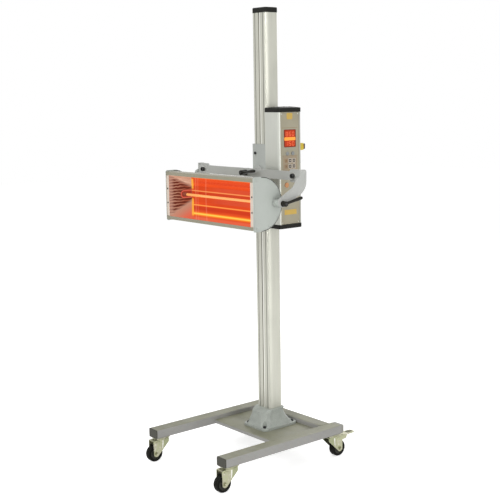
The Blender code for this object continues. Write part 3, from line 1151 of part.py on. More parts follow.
def make_reflector():
    """The reflector tray, its ceramic sockets and the quartz tube between them."""
    reflector = piece("reflector", prism(reflector_side(0, 0), "yz", -REFLECTOR_HALF_LENGTH,
                                         REFLECTOR_HALF_LENGTH), "polished_aluminium", lamp_tilt)
    inner = REFLECTOR_HALF_LENGTH - REFLECTOR_SHEET
    cut(reflector, prism(reflector_side(REFLECTOR_SHEET, CUT_OVERRUN), "yz", -inner, inner), "tray")
    reach = REFLECTOR_HALF_LENGTH + CUT_OVERRUN
    tube_at = (0, TUBE_Y, TILT_Z)
    cut(reflector, round_bar(SOCKET_RADIUS + SEAT_GAP, (1, 0, 0), tube_at, -reach, reach), "socket_holes")
    base = HOUSING_HALF_LENGTH
    nose = REFLECTOR_HALF_LENGTH - REFLECTOR_SHEET - SOCKET_INSIDE
    bore = TUBE_RADIUS + SEAT_GAP
    collar = REFLECTOR_HALF_LENGTH + SEAT_GAP
    profile = [(0, base), (SOCKET_COLLAR_RADIUS, base), (SOCKET_COLLAR_RADIUS, collar),
               (SOCKET_RADIUS, collar), (SOCKET_RADIUS, nose + SOCKET_NOSE_CHAMFER),
               (SOCKET_RADIUS - SOCKET_NOSE_CHAMFER, nose), (bore, nose), (bore, nose + SOCKET_BORE),
               (0, nose + SOCKET_BORE)]
    for side, sign in (("left", -1), ("right", 1)):
        piece("tube_socket_" + side, turned(profile, (sign, 0, 0), tube_at), "ceramic", lamp_tilt, tube_at)
    half_tube = nose + SOCKET_BORE - SEAT_GAP
    end = TUBE_RADIUS / 2
    piece("quartz_tube", turned([(0, -half_tube), (end, -half_tube), (TUBE_RADIUS, -half_tube + end),
                                 (TUBE_RADIUS, half_tube - end), (end, half_tube), (0, half_tube)],
                                (1, 0, 0), tube_at), "quartz", lamp_tilt, tube_at)


def make_gland(name, parent, base, axis):
    """A cable gland: hexagon flange, domed nut and an open bore for a cable."""
    top = GLAND_FLANGE + GLAND_DOME
    gland = piece(name, moved(prism(circle((0, 0), GLAND_RADIUS, 6), "xy", 0, GLAND_FLANGE),
                              axis_frame(axis, base)), "black_plastic", parent, base)
    dome = GLAND_RADIUS * math.cos(math.pi / 6) - SEAT_GAP
    round_over = (dome - GLAND_BORE) / 2
    profile = [(0, GLAND_FLANGE / 2), (dome, GLAND_FLANGE / 2)]
    profile += arc((dome - round_over, top - round_over), round_over, 0, 90, EDGE_STEPS)
    profile += [(GLAND_BORE, top), (GLAND_BORE, top - GLAND_BORE_DEPTH), (0, top - GLAND_BORE_DEPTH)]
    fuse(gland, turned(profile, axis, base), "dome_nut")
    return gland


def make_control_box():
    """The box extrusion with its recessed panel side, closed by a cap at each end."""
    half_x, half_y = BOX_WIDTH / 2, BOX_DEPTH / 2
    middle_x = BOX_INNER_X + half_x
    rail = (BOX_DEPTH - PANEL_WIDTH) / 2
    outline = rounded_rectangle(half_x, half_y, BOX_CORNER, (middle_x, BOX_CENTRE_Y))
    body = piece("control_box", prism(outline, "xy", BOX_BOTTOM, BOX_TOP), "satin_aluminium",
                 carriage_slide)
    recess_y = (BOX_CENTRE_Y - half_y + rail, BOX_CENTRE_Y + half_y - rail)
    cut(body, box((RECESS_X, recess_y[0], BOX_BOTTOM - CUT_OVERRUN),
                  (BOX_OUTER_X + CUT_OVERRUN, recess_y[1], BOX_TOP + CUT_OVERRUN)), "panel_recess")
    inner_low, inner_high = BOX_INNER_X + BOX_WALL, RECESS_X - BOX_WALL
    inner_half, inner_at = (inner_high - inner_low) / 2, ((inner_high + inner_low) / 2, BOX_CENTRE_Y)
    cut(body, prism(rounded_rectangle(inner_half, half_y - BOX_WALL, BOX_CORNER - BOX_WALL, inner_at), "xy",
                    BOX_BOTTOM - CUT_OVERRUN, BOX_TOP + CUT_OVERRUN), "hollow")
    shift = Matrix.Translation((middle_x + BOX_CAP_OVERHANG / 2, BOX_CENTRE_Y, 0))
    for end, face, way in (("bottom", BOX_BOTTOM, -1), ("top", BOX_TOP, 1)):
        base = face + way * SEAT_GAP
        lid_u, lid_v = half_x + BOX_CAP_OVERHANG / 2, half_y + BOX_CAP_OVERHANG
        sections = [(0, 0)]
        for inset, rise in arc((BOX_CAP_ROUND, 0), BOX_CAP_ROUND, 180, 90, EDGE_STEPS):
            sections.append((inset, BOX_CAP_HEIGHT - BOX_CAP_ROUND + rise))
        loops = []
        for inset, rise in sections:
            outline = rounded_rectangle(lid_u - inset, lid_v - inset, BOX_CORNER - inset)
            loops.append([(u, v, base + way * rise) for u, v in outline])
        crest = rounded_rectangle(lid_u * BOX_CAP_CROWN_SHARE, lid_v * BOX_CAP_CROWN_SHARE, BOX_CORNER / 2)
        loops.append([(u, v, base + way * (BOX_CAP_HEIGHT + BOX_CAP_CROWN)) for u, v in crest])
        cap = piece("box_cap_" + end, moved(loft(loops), shift), "black_plastic", carriage_slide)
        levels = sorted((base + way * BOX_CAP_HEIGHT / 2, face - way * BOX_CAP_SPIGOT))
        fuse(cap, prism(rounded_rectangle(inner_half - SEAT_GAP, half_y - BOX_WALL - SEAT_GAP,
                                          BOX_CORNER - BOX_WALL, inner_at), "xy", *levels), "spigot")
    panel = piece("control_panel", box((PANEL_BACK_X, recess_y[0] + SEAT_GAP, BOX_BOTTOM + SEAT_GAP),
                                       (PANEL_FACE_X, recess_y[1] - SEAT_GAP, BOX_TOP - SEAT_GAP)),
                  "panel_grey", carriage_slide)
    return body, panel


def make_controls(body, panel):
    """Display window, keypad and the push buttons in the panel."""
    display_z = BOX_TOP - DISPLAY_DROP
    display_half_y, display_half_z = DISPLAY_WIDTH / 2, DISPLAY_HEIGHT / 2
    centre = (BOX_CENTRE_Y, display_z)
    cut(panel, prism(rounded_rectangle(display_half_y, display_half_z, DISPLAY_ROUND, centre, 2), "yz",
                     PANEL_BACK_X - CUT_OVERRUN, PANEL_FACE_X + CUT_OVERRUN), "display_opening")
    piece("display_window", prism(rounded_rectangle(display_half_y - SEAT_GAP, display_half_z - SEAT_GAP,
                                                    DISPLAY_ROUND, centre, 2), "yz",
                                  PANEL_BACK_X, PANEL_FACE_X + DISPLAY_PROUD), "red_window",
          carriage_slide)

    keypad_z = BOX_TOP - KEYPAD_DROP
    mat_x = PANEL_FACE_X + SEAT_GAP
    keypad = piece("keypad", prism(rounded_rectangle(KEYPAD_WIDTH / 2, KEYPAD_HEIGHT / 2, KEY_ROUND,
                                                     (BOX_CENTRE_Y, keypad_z), 2), "yz",
                                   mat_x, mat_x + KEYPAD_MAT), "panel_grey", carriage_slide)
    keys = []
    for column in (-1, 0, 1):
        for row in (-0.5, 0.5):
            middle = (BOX_CENTRE_Y + column * KEY_PITCH_Y, keypad_z + row * KEY_PITCH_Z)
            keys.append(prism(rounded_rectangle(KEY_WIDTH / 2, KEY_HEIGHT / 2, KEY_ROUND, middle, 2), "yz",
                              mat_x + KEYPAD_MAT / 2, mat_x + KEYPAD_MAT + KEY_PROUD))
    fuse(keypad, merged(keys), "keys")

    button_z = BOX_TOP - BUTTON_DROP
    start_z = BOX_TOP - START_BUTTON_DROP
    buttons = (("button_down", BUTTON_RADIUS, -BUTTON_SPACING / 2, button_z, "grey_blue_plastic"),
               ("button_up", BUTTON_RADIUS, BUTTON_SPACING / 2, button_z, "grey_blue_plastic"),
               ("button_start", START_BUTTON_RADIUS, START_BUTTON_OFFSET, start_z, "orange_plastic"))
    holes_panel, holes_body = [], []
    for name, radius, offset, z, kind in buttons:
        y = BOX_CENTRE_Y + offset
        face = PANEL_FACE_X + BUTTON_PROUD
        back = face - BUTTON_BODY
        profile = [(0, 0), (radius, 0), (radius, BUTTON_BODY - BUTTON_EDGE),
                   (radius - BUTTON_EDGE, BUTTON_BODY), (0, BUTTON_BODY)]
        piece(name, turned(profile, (1, 0, 0), (back, y, z)), kind, carriage_slide, (back, y, z))
        for holes in (holes_panel, holes_body):
            holes.append(round_bar(radius + SEAT_GAP, (1, 0, 0), (0, y, z),
                                   RECESS_X - BOX_WALL - CUT_OVERRUN, BOX_OUTER_X + CUT_OVERRUN))
    cut(panel, merged(holes_panel), "button_holes")
    cut(body, merged(holes_body), "button_holes")


def make_main_switch():
    """Plate and rotary knob on the box's rear side."""
    x = BOX_OUTER_X - SWITCH_FROM_EDGE
    z = BOX_TOP - SWITCH_DROP
    plate_low = BOX_REAR_Y + SEAT_GAP
    plate_high = plate_low + SWITCH_PLATE_THICKNESS
    piece("switch_plate", prism(rounded_rectangle(SWITCH_PLATE / 2, SWITCH_PLATE / 2, SWITCH_PLATE_CORNER,
                                                  (x, z)), "xz", plate_low, plate_high), "yellow_plastic",
          carriage_slide)
    base = plate_high + SEAT_GAP
    disc = round_bar(KNOB_RADIUS, (0, 1, 0), (x, base, z), 0, KNOB_BASE)
    knob = piece("switch_knob", disc, "red_plastic", carriage_slide, (x, base, z))
    reach = KNOB_RADIUS - BUTTON_EDGE
    fuse(knob, prism(rounded_rectangle(KNOB_GRIP / 2, reach, KNOB_GRIP / 2, (x, z)), "xz",
                     base + KNOB_BASE / 2, base + KNOB_HEIGHT), "grip")


def make_glands():
    """Open cable glands: one in the box's rear side and one in the back of the lamp."""
    x = BOX_OUTER_X - BOX_GLAND_FROM_EDGE
    make_gland("box_cable_gland", carriage_slide, (x, BOX_REAR_Y + SEAT_GAP, BOX_BOTTOM + BOX_GLAND_RISE),
               (0, 1, 0))
    sag = HOUSING_RADIUS - math.sqrt(HOUSING_RADIUS ** 2 - GLAND_RADIUS ** 2)
    back = LAMP_ROUND_Y + HOUSING_RADIUS - sag
    gland = make_gland("lamp_cable_gland", lamp_tilt, (LAMP_GLAND_X, back, TILT_Z), (0, 1, 0))
    cut(gland, round_bar(HOUSING_RADIUS + SEAT_GAP, (1, 0, 0), (LAMP_GLAND_X, LAMP_ROUND_Y, TILT_Z),
                         -2 * GLAND_RADIUS, 2 * GLAND_RADIUS, 4 * BACK_STEPS), "housing_saddle")


def stand_on_floor():
    """Put the origin under the middle of the lamp's box, at floor level."""
    bpy.context.view_layer.update()
    graph = bpy.context.evaluated_depsgraph_get()
    low = Vector((math.inf,) * 3)
    high = -low
    for obj in bpy.data.objects:
        if obj.type == "EMPTY" or obj.hide_render:
            continue
        solid = obj.evaluated_get(graph)
        mesh = solid.to_mesh()
        for vertex in mesh.vertices:
            point = solid.matrix_world @ vertex.co
            low = Vector(map(min, low, point))
            high = Vector(map(max, high, point))
        solid.to_mesh_clear()
    middle = (low + high) / 2
    stand.location = (-middle.x, -middle.y, -low.z)


make_rails()
make_deck()
for side_name, side_sign in (("left", -1), ("right", 1)):
    caster_x = side_sign * RAIL_SPACING / 2
    make_caster("front_" + side_name, caster_x, -FRONT_REACH + FRONT_CASTER_INSET, -1, False)
    make_caster("rear_" + side_name, caster_x, REAR_REACH - REAR_CASTER_INSET, 1, True)
make_foot()
make_mast()
make_balance_gear()
make_carriage()
make_yoke()
make_lever("swivel_lever", (0, BAR_FRONT - SEAT_GAP, YOKE_HEIGHT), (0, -1, 0), (1, 0, 0),
           SWIVEL_LEVER_ANGLE, SWIVEL_LEVER_LENGTH, SWIVEL_LEVER_HUB)
make_lever("tilt_lever", (ARM_OUTER_X + SEAT_GAP, TILT_Y, TILT_Z), (1, 0, 0), (0, 1, 0),
           TILT_LEVER_ANGLE, TILT_LEVER_LENGTH, TILT_LEVER_HUB)
make_housing()
make_end_plates()
make_reflector()
box_body, box_panel = make_control_box()
make_controls(box_body, box_panel)
make_main_switch()
make_glands()
stand_on_floor()
bpy.context.view_layer.update()
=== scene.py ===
"""Looks of the mobile infrared paint curing lamp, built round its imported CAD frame.

Lengths are in metres and colours are linear, in the frame's own coordinates: the lamp faces -Y,
the control box is on the mast's +X side and the floor is Z = 0.
"""
import math

import bmesh
import bpy
from mathutils import Matrix, Vector


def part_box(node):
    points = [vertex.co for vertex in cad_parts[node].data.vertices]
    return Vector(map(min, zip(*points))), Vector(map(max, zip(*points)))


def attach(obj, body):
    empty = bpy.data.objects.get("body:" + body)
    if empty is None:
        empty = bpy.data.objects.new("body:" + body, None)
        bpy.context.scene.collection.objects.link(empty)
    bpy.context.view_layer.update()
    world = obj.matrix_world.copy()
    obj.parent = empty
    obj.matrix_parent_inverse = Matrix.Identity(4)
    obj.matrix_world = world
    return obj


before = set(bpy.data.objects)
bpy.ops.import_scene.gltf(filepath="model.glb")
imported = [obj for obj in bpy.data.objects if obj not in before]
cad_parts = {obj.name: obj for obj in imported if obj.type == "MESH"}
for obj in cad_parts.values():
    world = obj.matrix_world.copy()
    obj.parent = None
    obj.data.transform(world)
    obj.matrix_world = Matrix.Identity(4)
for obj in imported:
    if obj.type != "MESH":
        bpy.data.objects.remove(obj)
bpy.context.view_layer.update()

GAP = 0.0003                 # between a piece and what it rests on
FLUSH = GAP / 3              # the same for prints and small pieces

# Places and sizes that follow the CAD
TILT_BACK = 0.119            # lamp's front face to the tilt axis
ROUND_BACK = 0.043           # lamp's front face to the middle of its round back
MOUTH_SET_BACK = 0.0036      # lamp's front face to the reflector's front edge
REFLECTOR_MOUTH = 0.0955
REFLECTOR_BACK = 0.037
REFLECTOR_DEPTH = 0.129
REFLECTOR_HALF_LENGTH = 0.290
TUBE_DEPTH = 0.084           # reflector's front edge to the middle of the tube
PAINTED_MIRROR_EDGE = 0.174        # mouth's end to where the painted reflection of the upright edge meets the mouth
HOUSING_LIP_EDGE = 0.0907    # tilt axis to the edge of the housing's front lip
HOUSING_HALF_LENGTH = 0.3012
LAMP_HALF_LENGTH = 0.304     # with its end plates
BAR_BOLT_INSET = 0.036
FOOT_BOLT_X = 0.057
FOOT_BOLT_Y = 0.081
FOOT_BOLT_SEAT = 0.008
SWIVEL_HUB = 0.033
TILT_HUB = 0.023
AXLE_FROM_SWIVEL = 0.036
FORK_HALF_WIDTH = 0.0205
ROLLED_EDGE = 0.027          # width of the mast's wide faces that rolls off towards the front
ROLLED_SLOPE = 0.40


def middle(node):
    low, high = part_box(node)
    return (low + high) / 2


AXIS = middle("mast")
lamp_low, lamp_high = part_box("end_plate_right")
LAMP_FRONT = lamp_low.y
TILT = Vector((AXIS.x, LAMP_FRONT + TILT_BACK, (lamp_low.z + lamp_high.z) / 2))
MOUTH = LAMP_FRONT + MOUTH_SET_BACK


# Materials


class Graph:
    """A node tree with short names for its commonest nodes."""

    def __init__(self, tree):
        self.tree = tree

    def feed(self, socket, value):
        if isinstance(value, bpy.types.NodeSocket):
            self.tree.links.new(value, socket)
        elif isinstance(value, tuple) and len(value) == 3 and len(socket.default_value) == 4:
            socket.default_value = (*value, 1.0)
        else:
            socket.default_value = value

    def fill(self, node, sockets):
        """Feeds a value to each named socket of a node."""
        for name, value in sockets.items():
            self.feed(node.inputs[name], value)
        return node

    def add(self, kind, sockets=None):
        return self.fill(self.tree.nodes.new("ShaderNode" + kind), sockets or {})

    def calc(self, operation, *values):
        node = self.add("Math")
        node.operation = operation
        for socket, value in zip(node.inputs, values):
            self.feed(socket, value)
        return node.outputs[0]

    def times(self, a, b):
        return self.calc("MULTIPLY", a, b)

    def minus(self, a, b):
        return self.calc("SUBTRACT", a, b)

    def absolute(self, value):
        return self.calc("ABSOLUTE", value)

    def distance(self, a, b):
        """Distance from zero of a point with those two coordinates."""
        return self.calc("SQRT", self.calc("ADD", self.times(a, a), self.times(b, b)))

    def span(self, value, start, end, low=0.0, high=1.0):
        """Maps start..end to low..high and stops there. Start may be above end."""
        node = self.add("MapRange", {"Value": value, "From Min": start, "From Max": end,
                                     "To Min": low, "To Max": high})
        node.interpolation_type = "SMOOTHSTEP" if low == 0.0 and high == 1.0 else "LINEAR"
        return node.outputs["Result"]

    def band(self, value, centre, half, soft):
        """1 within half of the centre, falling to 0 over the soft width."""
        return self.span(self.absolute(self.minus(value, centre)), half + soft, half)

    def mix(self, share, a, b):
        node = self.add("Mix")
        node.data_type = "RGBA"
        for index, value in ((0, share), (6, a), (7, b)):
            self.feed(node.inputs[index], value)
        return node.outputs[2]

    def vary(self, value, colour, darker, lighter, start=0.3, end=0.7):
        """Goes from the darkened to the lightened colour as the value goes from start to end."""
        return self.mix(self.span(value, start, end), tint(colour, -darker), tint(colour, lighter))


class Finish(Graph):
    """A Principled material that is built up from procedural nodes."""

    def __init__(self, name, roughness, metallic=0.0, specular=0.5):
        self.material = bpy.data.materials.new(name)
        self.material.use_nodes = True
        super().__init__(self.material.node_tree)
        self.shader = self.tree.nodes["Principled BSDF"]
        self.fill(self.shader, {"Roughness": roughness, "Metallic": metallic,
                                "Specular IOR Level": specular})
        self.roughness = roughness
        place = self.add("TexCoord").outputs
        self.place = place["Object"]
        self.x, self.y, self.z = self.add("SeparateXYZ", {0: self.place}).outputs
        self.upward = self.add("SeparateXYZ", {0: place["Normal"]}).outputs[2]

    def noise(self, scale, detail, stretch=None, distortion=0.0, roughness=0.5):
        """Noise from 0 to 1, with that many features a metre, times the stretch on each axis."""
        place = self.place
        if stretch:
            place = self.add("Mapping", {"Vector": place, "Scale": stretch}).outputs[0]
        node = self.add("TexNoise", {"Vector": place, "Scale": scale, "Detail": detail,
                                     "Distortion": distortion, "Roughness": roughness})
        return node.outputs["Fac"]

    def colour(self, value):
        self.feed(self.shader.inputs["Base Color"], value)

    def rough(self, value, spread):
        """Roughness that varies with a 0 to 1 value, by the spread in all."""
        self.feed(self.shader.inputs["Roughness"],
                  self.calc("MULTIPLY_ADD", value, spread, self.roughness - spread / 2))

    def bump(self, height, distance):
        node = self.add("Bump", {"Strength": 1.0, "Distance": distance, "Height": height})
        self.feed(self.shader.inputs["Normal"], node.outputs[0])

    def glow(self, value, strength):
        self.fill(self.shader, {"Emission Color": value, "Emission Strength": strength})

    def done(self, colour, patches, spread, height, distance):
        """Sets colour, patchy roughness and bump, and gives the material."""
        self.colour(colour)
        self.rough(patches, spread)
        self.bump(height, distance)
        return self.material


def tint(colour, share):
    """A colour made lighter or darker by a share."""
    return tuple(min(1.0, channel * (1 + share)) for channel in colour)


def powder_base(name, colour):
    """Sprayed paint with faint cloudiness and fine fleck: the finish, and its colour."""
    paint = Finish(name, 0.42)
    cloudy = paint.vary(paint.noise(7.0, 3.0), colour, 0.05, 0.05)
    fleck = paint.span(paint.noise(1400.0, 1.0), 0.62, 0.70)
    return paint, paint.mix(fleck, cloudy, tint(colour, -0.16))


def powder_coat(name, colour):
    """Powder coat with orange peel and handling marks."""
    paint, base = powder_base(name, colour)
    rub = paint.span(paint.noise(38.0, 4.0, distortion=0.6), 0.58, 0.72)
    base = paint.mix(paint.times(rub, 0.12), base, tint(colour, 0.30))
    return paint.done(base, paint.noise(55.0, 3.0), 0.16, paint.noise(430.0, 2.0), 0.0001)


def frame_paint(name, side, top):
    """Satin paint on steel tube, darker and yellower in patches on what faces up."""
    paint = Finish(name, 0.42, 0.0, 0.35)
    base = paint.vary(paint.noise(6.0, 3.0, distortion=0.4), side, 0.06, 0.06)
    # darker, yellower patches on faces that point up
    mottle = paint.times(paint.span(paint.upward, 0.5, 0.9),
                       paint.span(paint.noise(9.0, 4.0), 0.2, 0.55, 0.65, 1.0))
    patch = paint.mix(paint.span(paint.noise(11.0, 3.0), 0.35, 0.7), top, tint(top, -0.22))
    base = paint.mix(mottle, base, patch)
    base = paint.mix(paint.span(paint.noise(1300.0, 1.0), 0.62, 0.70), base, tint(side, -0.25))
    return paint.done(base, paint.noise(55.0, 3.0), 0.18, paint.noise(430.0, 2.0), 0.0001)


def casting(name, colour):
    """Painted sand casting: coarse skin under the paint, with dirt in the low spots."""
    paint = Finish(name, 0.5)
    skin = paint.noise(520.0, 4.0, roughness=0.65)
    lumps = paint.noise(46.0, 3.0)
    base = paint.vary(lumps, colour, 0.09, 0.08)
    base = paint.mix(paint.span(skin, 0.46, 0.34), base, tint(colour, -0.35))
    return paint.done(base, skin, 0.22, paint.calc("ADD", skin, paint.times(lumps, 0.8)), 0.0007)


def extruded(name, colour, roughness, metallic, contrast, bloom, detail=3.0, stretch=0.006):
    """Extrusion with die lines along Z and slight bloom: the finish, its lines and its colour."""
    metal = Finish(name, roughness, metallic)
    lines = metal.noise(900.0, detail, stretch=(1.0, 1.0, stretch))
    base = metal.vary(lines, colour, contrast, contrast, 0.25, 0.75)
    base = metal.mix(metal.span(metal.noise(5.0, 3.0), 0.4, 0.75), base, tint(colour, bloom))
    return metal, lines, base


def bright_trim(name, colour):
    metal, lines, base = extruded(name, colour, 0.34, 0.3, 0.09, 0.08, stretch=0.02)
    return metal.done(base, lines, 0.16, lines, 0.00006)


def zinc_plate(name, bend=None, way=1):
    """Yellow passivated zinc, patchy, with painted shade behind a bend where one is given: darker
    and greener there.
    """
    colour = (0.43, 0.41, 0.31)
    metal = Finish(name, 0.34, 0.8)
    patches = metal.noise(58.0, 3.0, distortion=1.4)
    grain = metal.noise(900.0, 3.0)
    base = metal.mix(metal.span(patches, 0.3, 0.7), (0.40, 0.42, 0.25), colour)
    base = metal.mix(metal.span(patches, 0.60, 0.72), base, (0.62, 0.60, 0.50))
    if bend is not None:
        # painted shade: darker and greener past the bend, where the leg turns away from the light
        behind = metal.span(metal.times(metal.minus(metal.y, bend), way), 0.000, 0.004)
        base = metal.mix(metal.times(behind, 0.75), base, (0.27, 0.30, 0.16))
    base = metal.mix(metal.times(grain, 0.3), base, tint(colour, -0.35))
    return metal.done(base, patches, 0.20, grain, 0.00008)


def moulded(name, colour, roughness, grain=0.00012, spread=0.10, specular=0.5):
    """Moulded plastic with a fine spark-eroded grain and slight polish on worn spots."""
    plastic = Finish(name, roughness, 0.0, specular)
    tone = plastic.noise(24.0, 3.0)
    scuff = plastic.span(plastic.noise(150.0, 5.0, distortion=1.0), 0.66, 0.74)
    lighter = tuple(channel * 1.3 + 0.012 for channel in colour)
    base = plastic.vary(tone, colour, spread, spread)
    base = plastic.mix(plastic.times(scuff, 0.5), base, lighter)
    return plastic.done(base, tone, 0.18, plastic.noise(1500.0, 2.0), grain)


def knob_finish(name):
    """Rotary switch knob: a red disc that carries a black grip."""
    plastic = Finish(name, 0.38, 0.0, 0.3)
    disc_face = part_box("switch_knob")[0].y + 0.0046
    grip = plastic.span(plastic.y, disc_face, disc_face + 0.0006)
    tone = plastic.noise(60.0, 3.0)
    red = plastic.mix(tone, (0.30, 0.026, 0.018), (0.38, 0.034, 0.022))
    black = plastic.mix(tone, (0.010, 0.010, 0.009), (0.020, 0.020, 0.017))
    base = plastic.mix(grip, red, black)
    return plastic.done(base, tone, 0.14, plastic.noise(1500.0, 2.0), 0.0001)


def tyre(name, axle):
    """Black rubber outside the rim's radius, and a dark grey moulded rim inside it."""
    rubber = Finish(name, 0.66, 0.0, 0.08)
    radius = rubber.distance(rubber.minus(rubber.y, axle.y), rubber.minus(rubber.z, axle.z))
    mottle = rubber.span(rubber.noise(70.0, 5.0), 0.45, 0.75)
    sideways = rubber.absolute(rubber.minus(rubber.x, axle.x))
    ribs = rubber.span(rubber.calc("SINE", rubber.times(sideways, 1250.0)), -0.3, 0.7)
    ribs = rubber.times(ribs, rubber.span(radius, 0.033, 0.036))
    tread = rubber.mix(rubber.times(mottle, 0.35), (0.004, 0.004, 0.003), (0.015, 0.014, 0.011))
    tread = rubber.mix(rubber.times(ribs, 0.5), tread, (0.028, 0.027, 0.022))
    base = rubber.mix(rubber.span(radius, 0.0276, 0.0266), tread, (0.060, 0.060, 0.052))
    return rubber.done(base, mottle, 0.24, rubber.noise(800.0, 3.0), 0.00025)


def fine_steel(name, colour=(0.42, 0.42, 0.42), roughness=0.34, metallic=0.9):
    """Machined steel: fine turning marks and a trace of oil stain."""
    metal = Finish(name, roughness, metallic)
    marks = metal.noise(1300.0, 2.0, stretch=(1.0, 0.15, 1.0))
    stained = metal.vary(metal.noise(60.0, 3.0), colour, 0.12, 0.10, 0.35)
    base = metal.mix(metal.times(marks, 0.25), stained, tint(colour, -0.3))
    return metal.done(base, marks, 0.14, marks, 0.00005)


def printed_panel(name, colour):
    """Matt polycarbonate film on sheet: fine matt grain and slight yellowing."""
    film = Finish(name, 0.5)
    grain = film.noise(2200.0, 2.0)
    tone = film.noise(14.0, 3.0)
    base = film.vary(tone, colour, 0.05, 0.05)
    base = film.mix(film.times(grain, 0.12), base, tint(colour, -0.3))
    return film.done(base, tone, 0.14, grain, 0.00005)


def glowing(name, colour, strength, base):
    """A lit part: a slightly uneven glow over its own colour."""
    lit = Finish(name, 0.3)
    uneven = lit.noise(160.0, 2.0)
    lit.colour(lit.mix(uneven, tint(base, -0.1), tint(base, 0.1)))
    lit.glow(lit.mix(uneven, tint(colour, -0.10), tint(colour, 0.06)), strength)
    lit.bump(lit.noise(1500.0, 1.0), 0.00004)
    return lit.material


def window_red(name):
    """Red filter window, lit from behind over the digits."""
    lit = Finish(name, 0.18, 0.0, 0.2)
    low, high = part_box("display_window")
    centre, half = (low + high) / 2, (high - low) / 2
    inside = lit.times(lit.band(lit.y, centre.y, half.y - 0.008, 0.005),
                       lit.band(lit.z, centre.z, half.z - 0.006, 0.005))
    uneven = lit.noise(120.0, 2.0)
    lit.colour(lit.mix(uneven, (0.09, 0.008, 0.004), (0.13, 0.012, 0.005)))
    lit.glow(lit.mix(inside, (0.09, 0.012, 0.003), (0.50, 0.038, 0.004)),
             lit.calc("MULTIPLY_ADD", uneven, 0.3, 0.75))
    lit.bump(lit.noise(900.0, 1.0), 0.00002)
    return lit.material


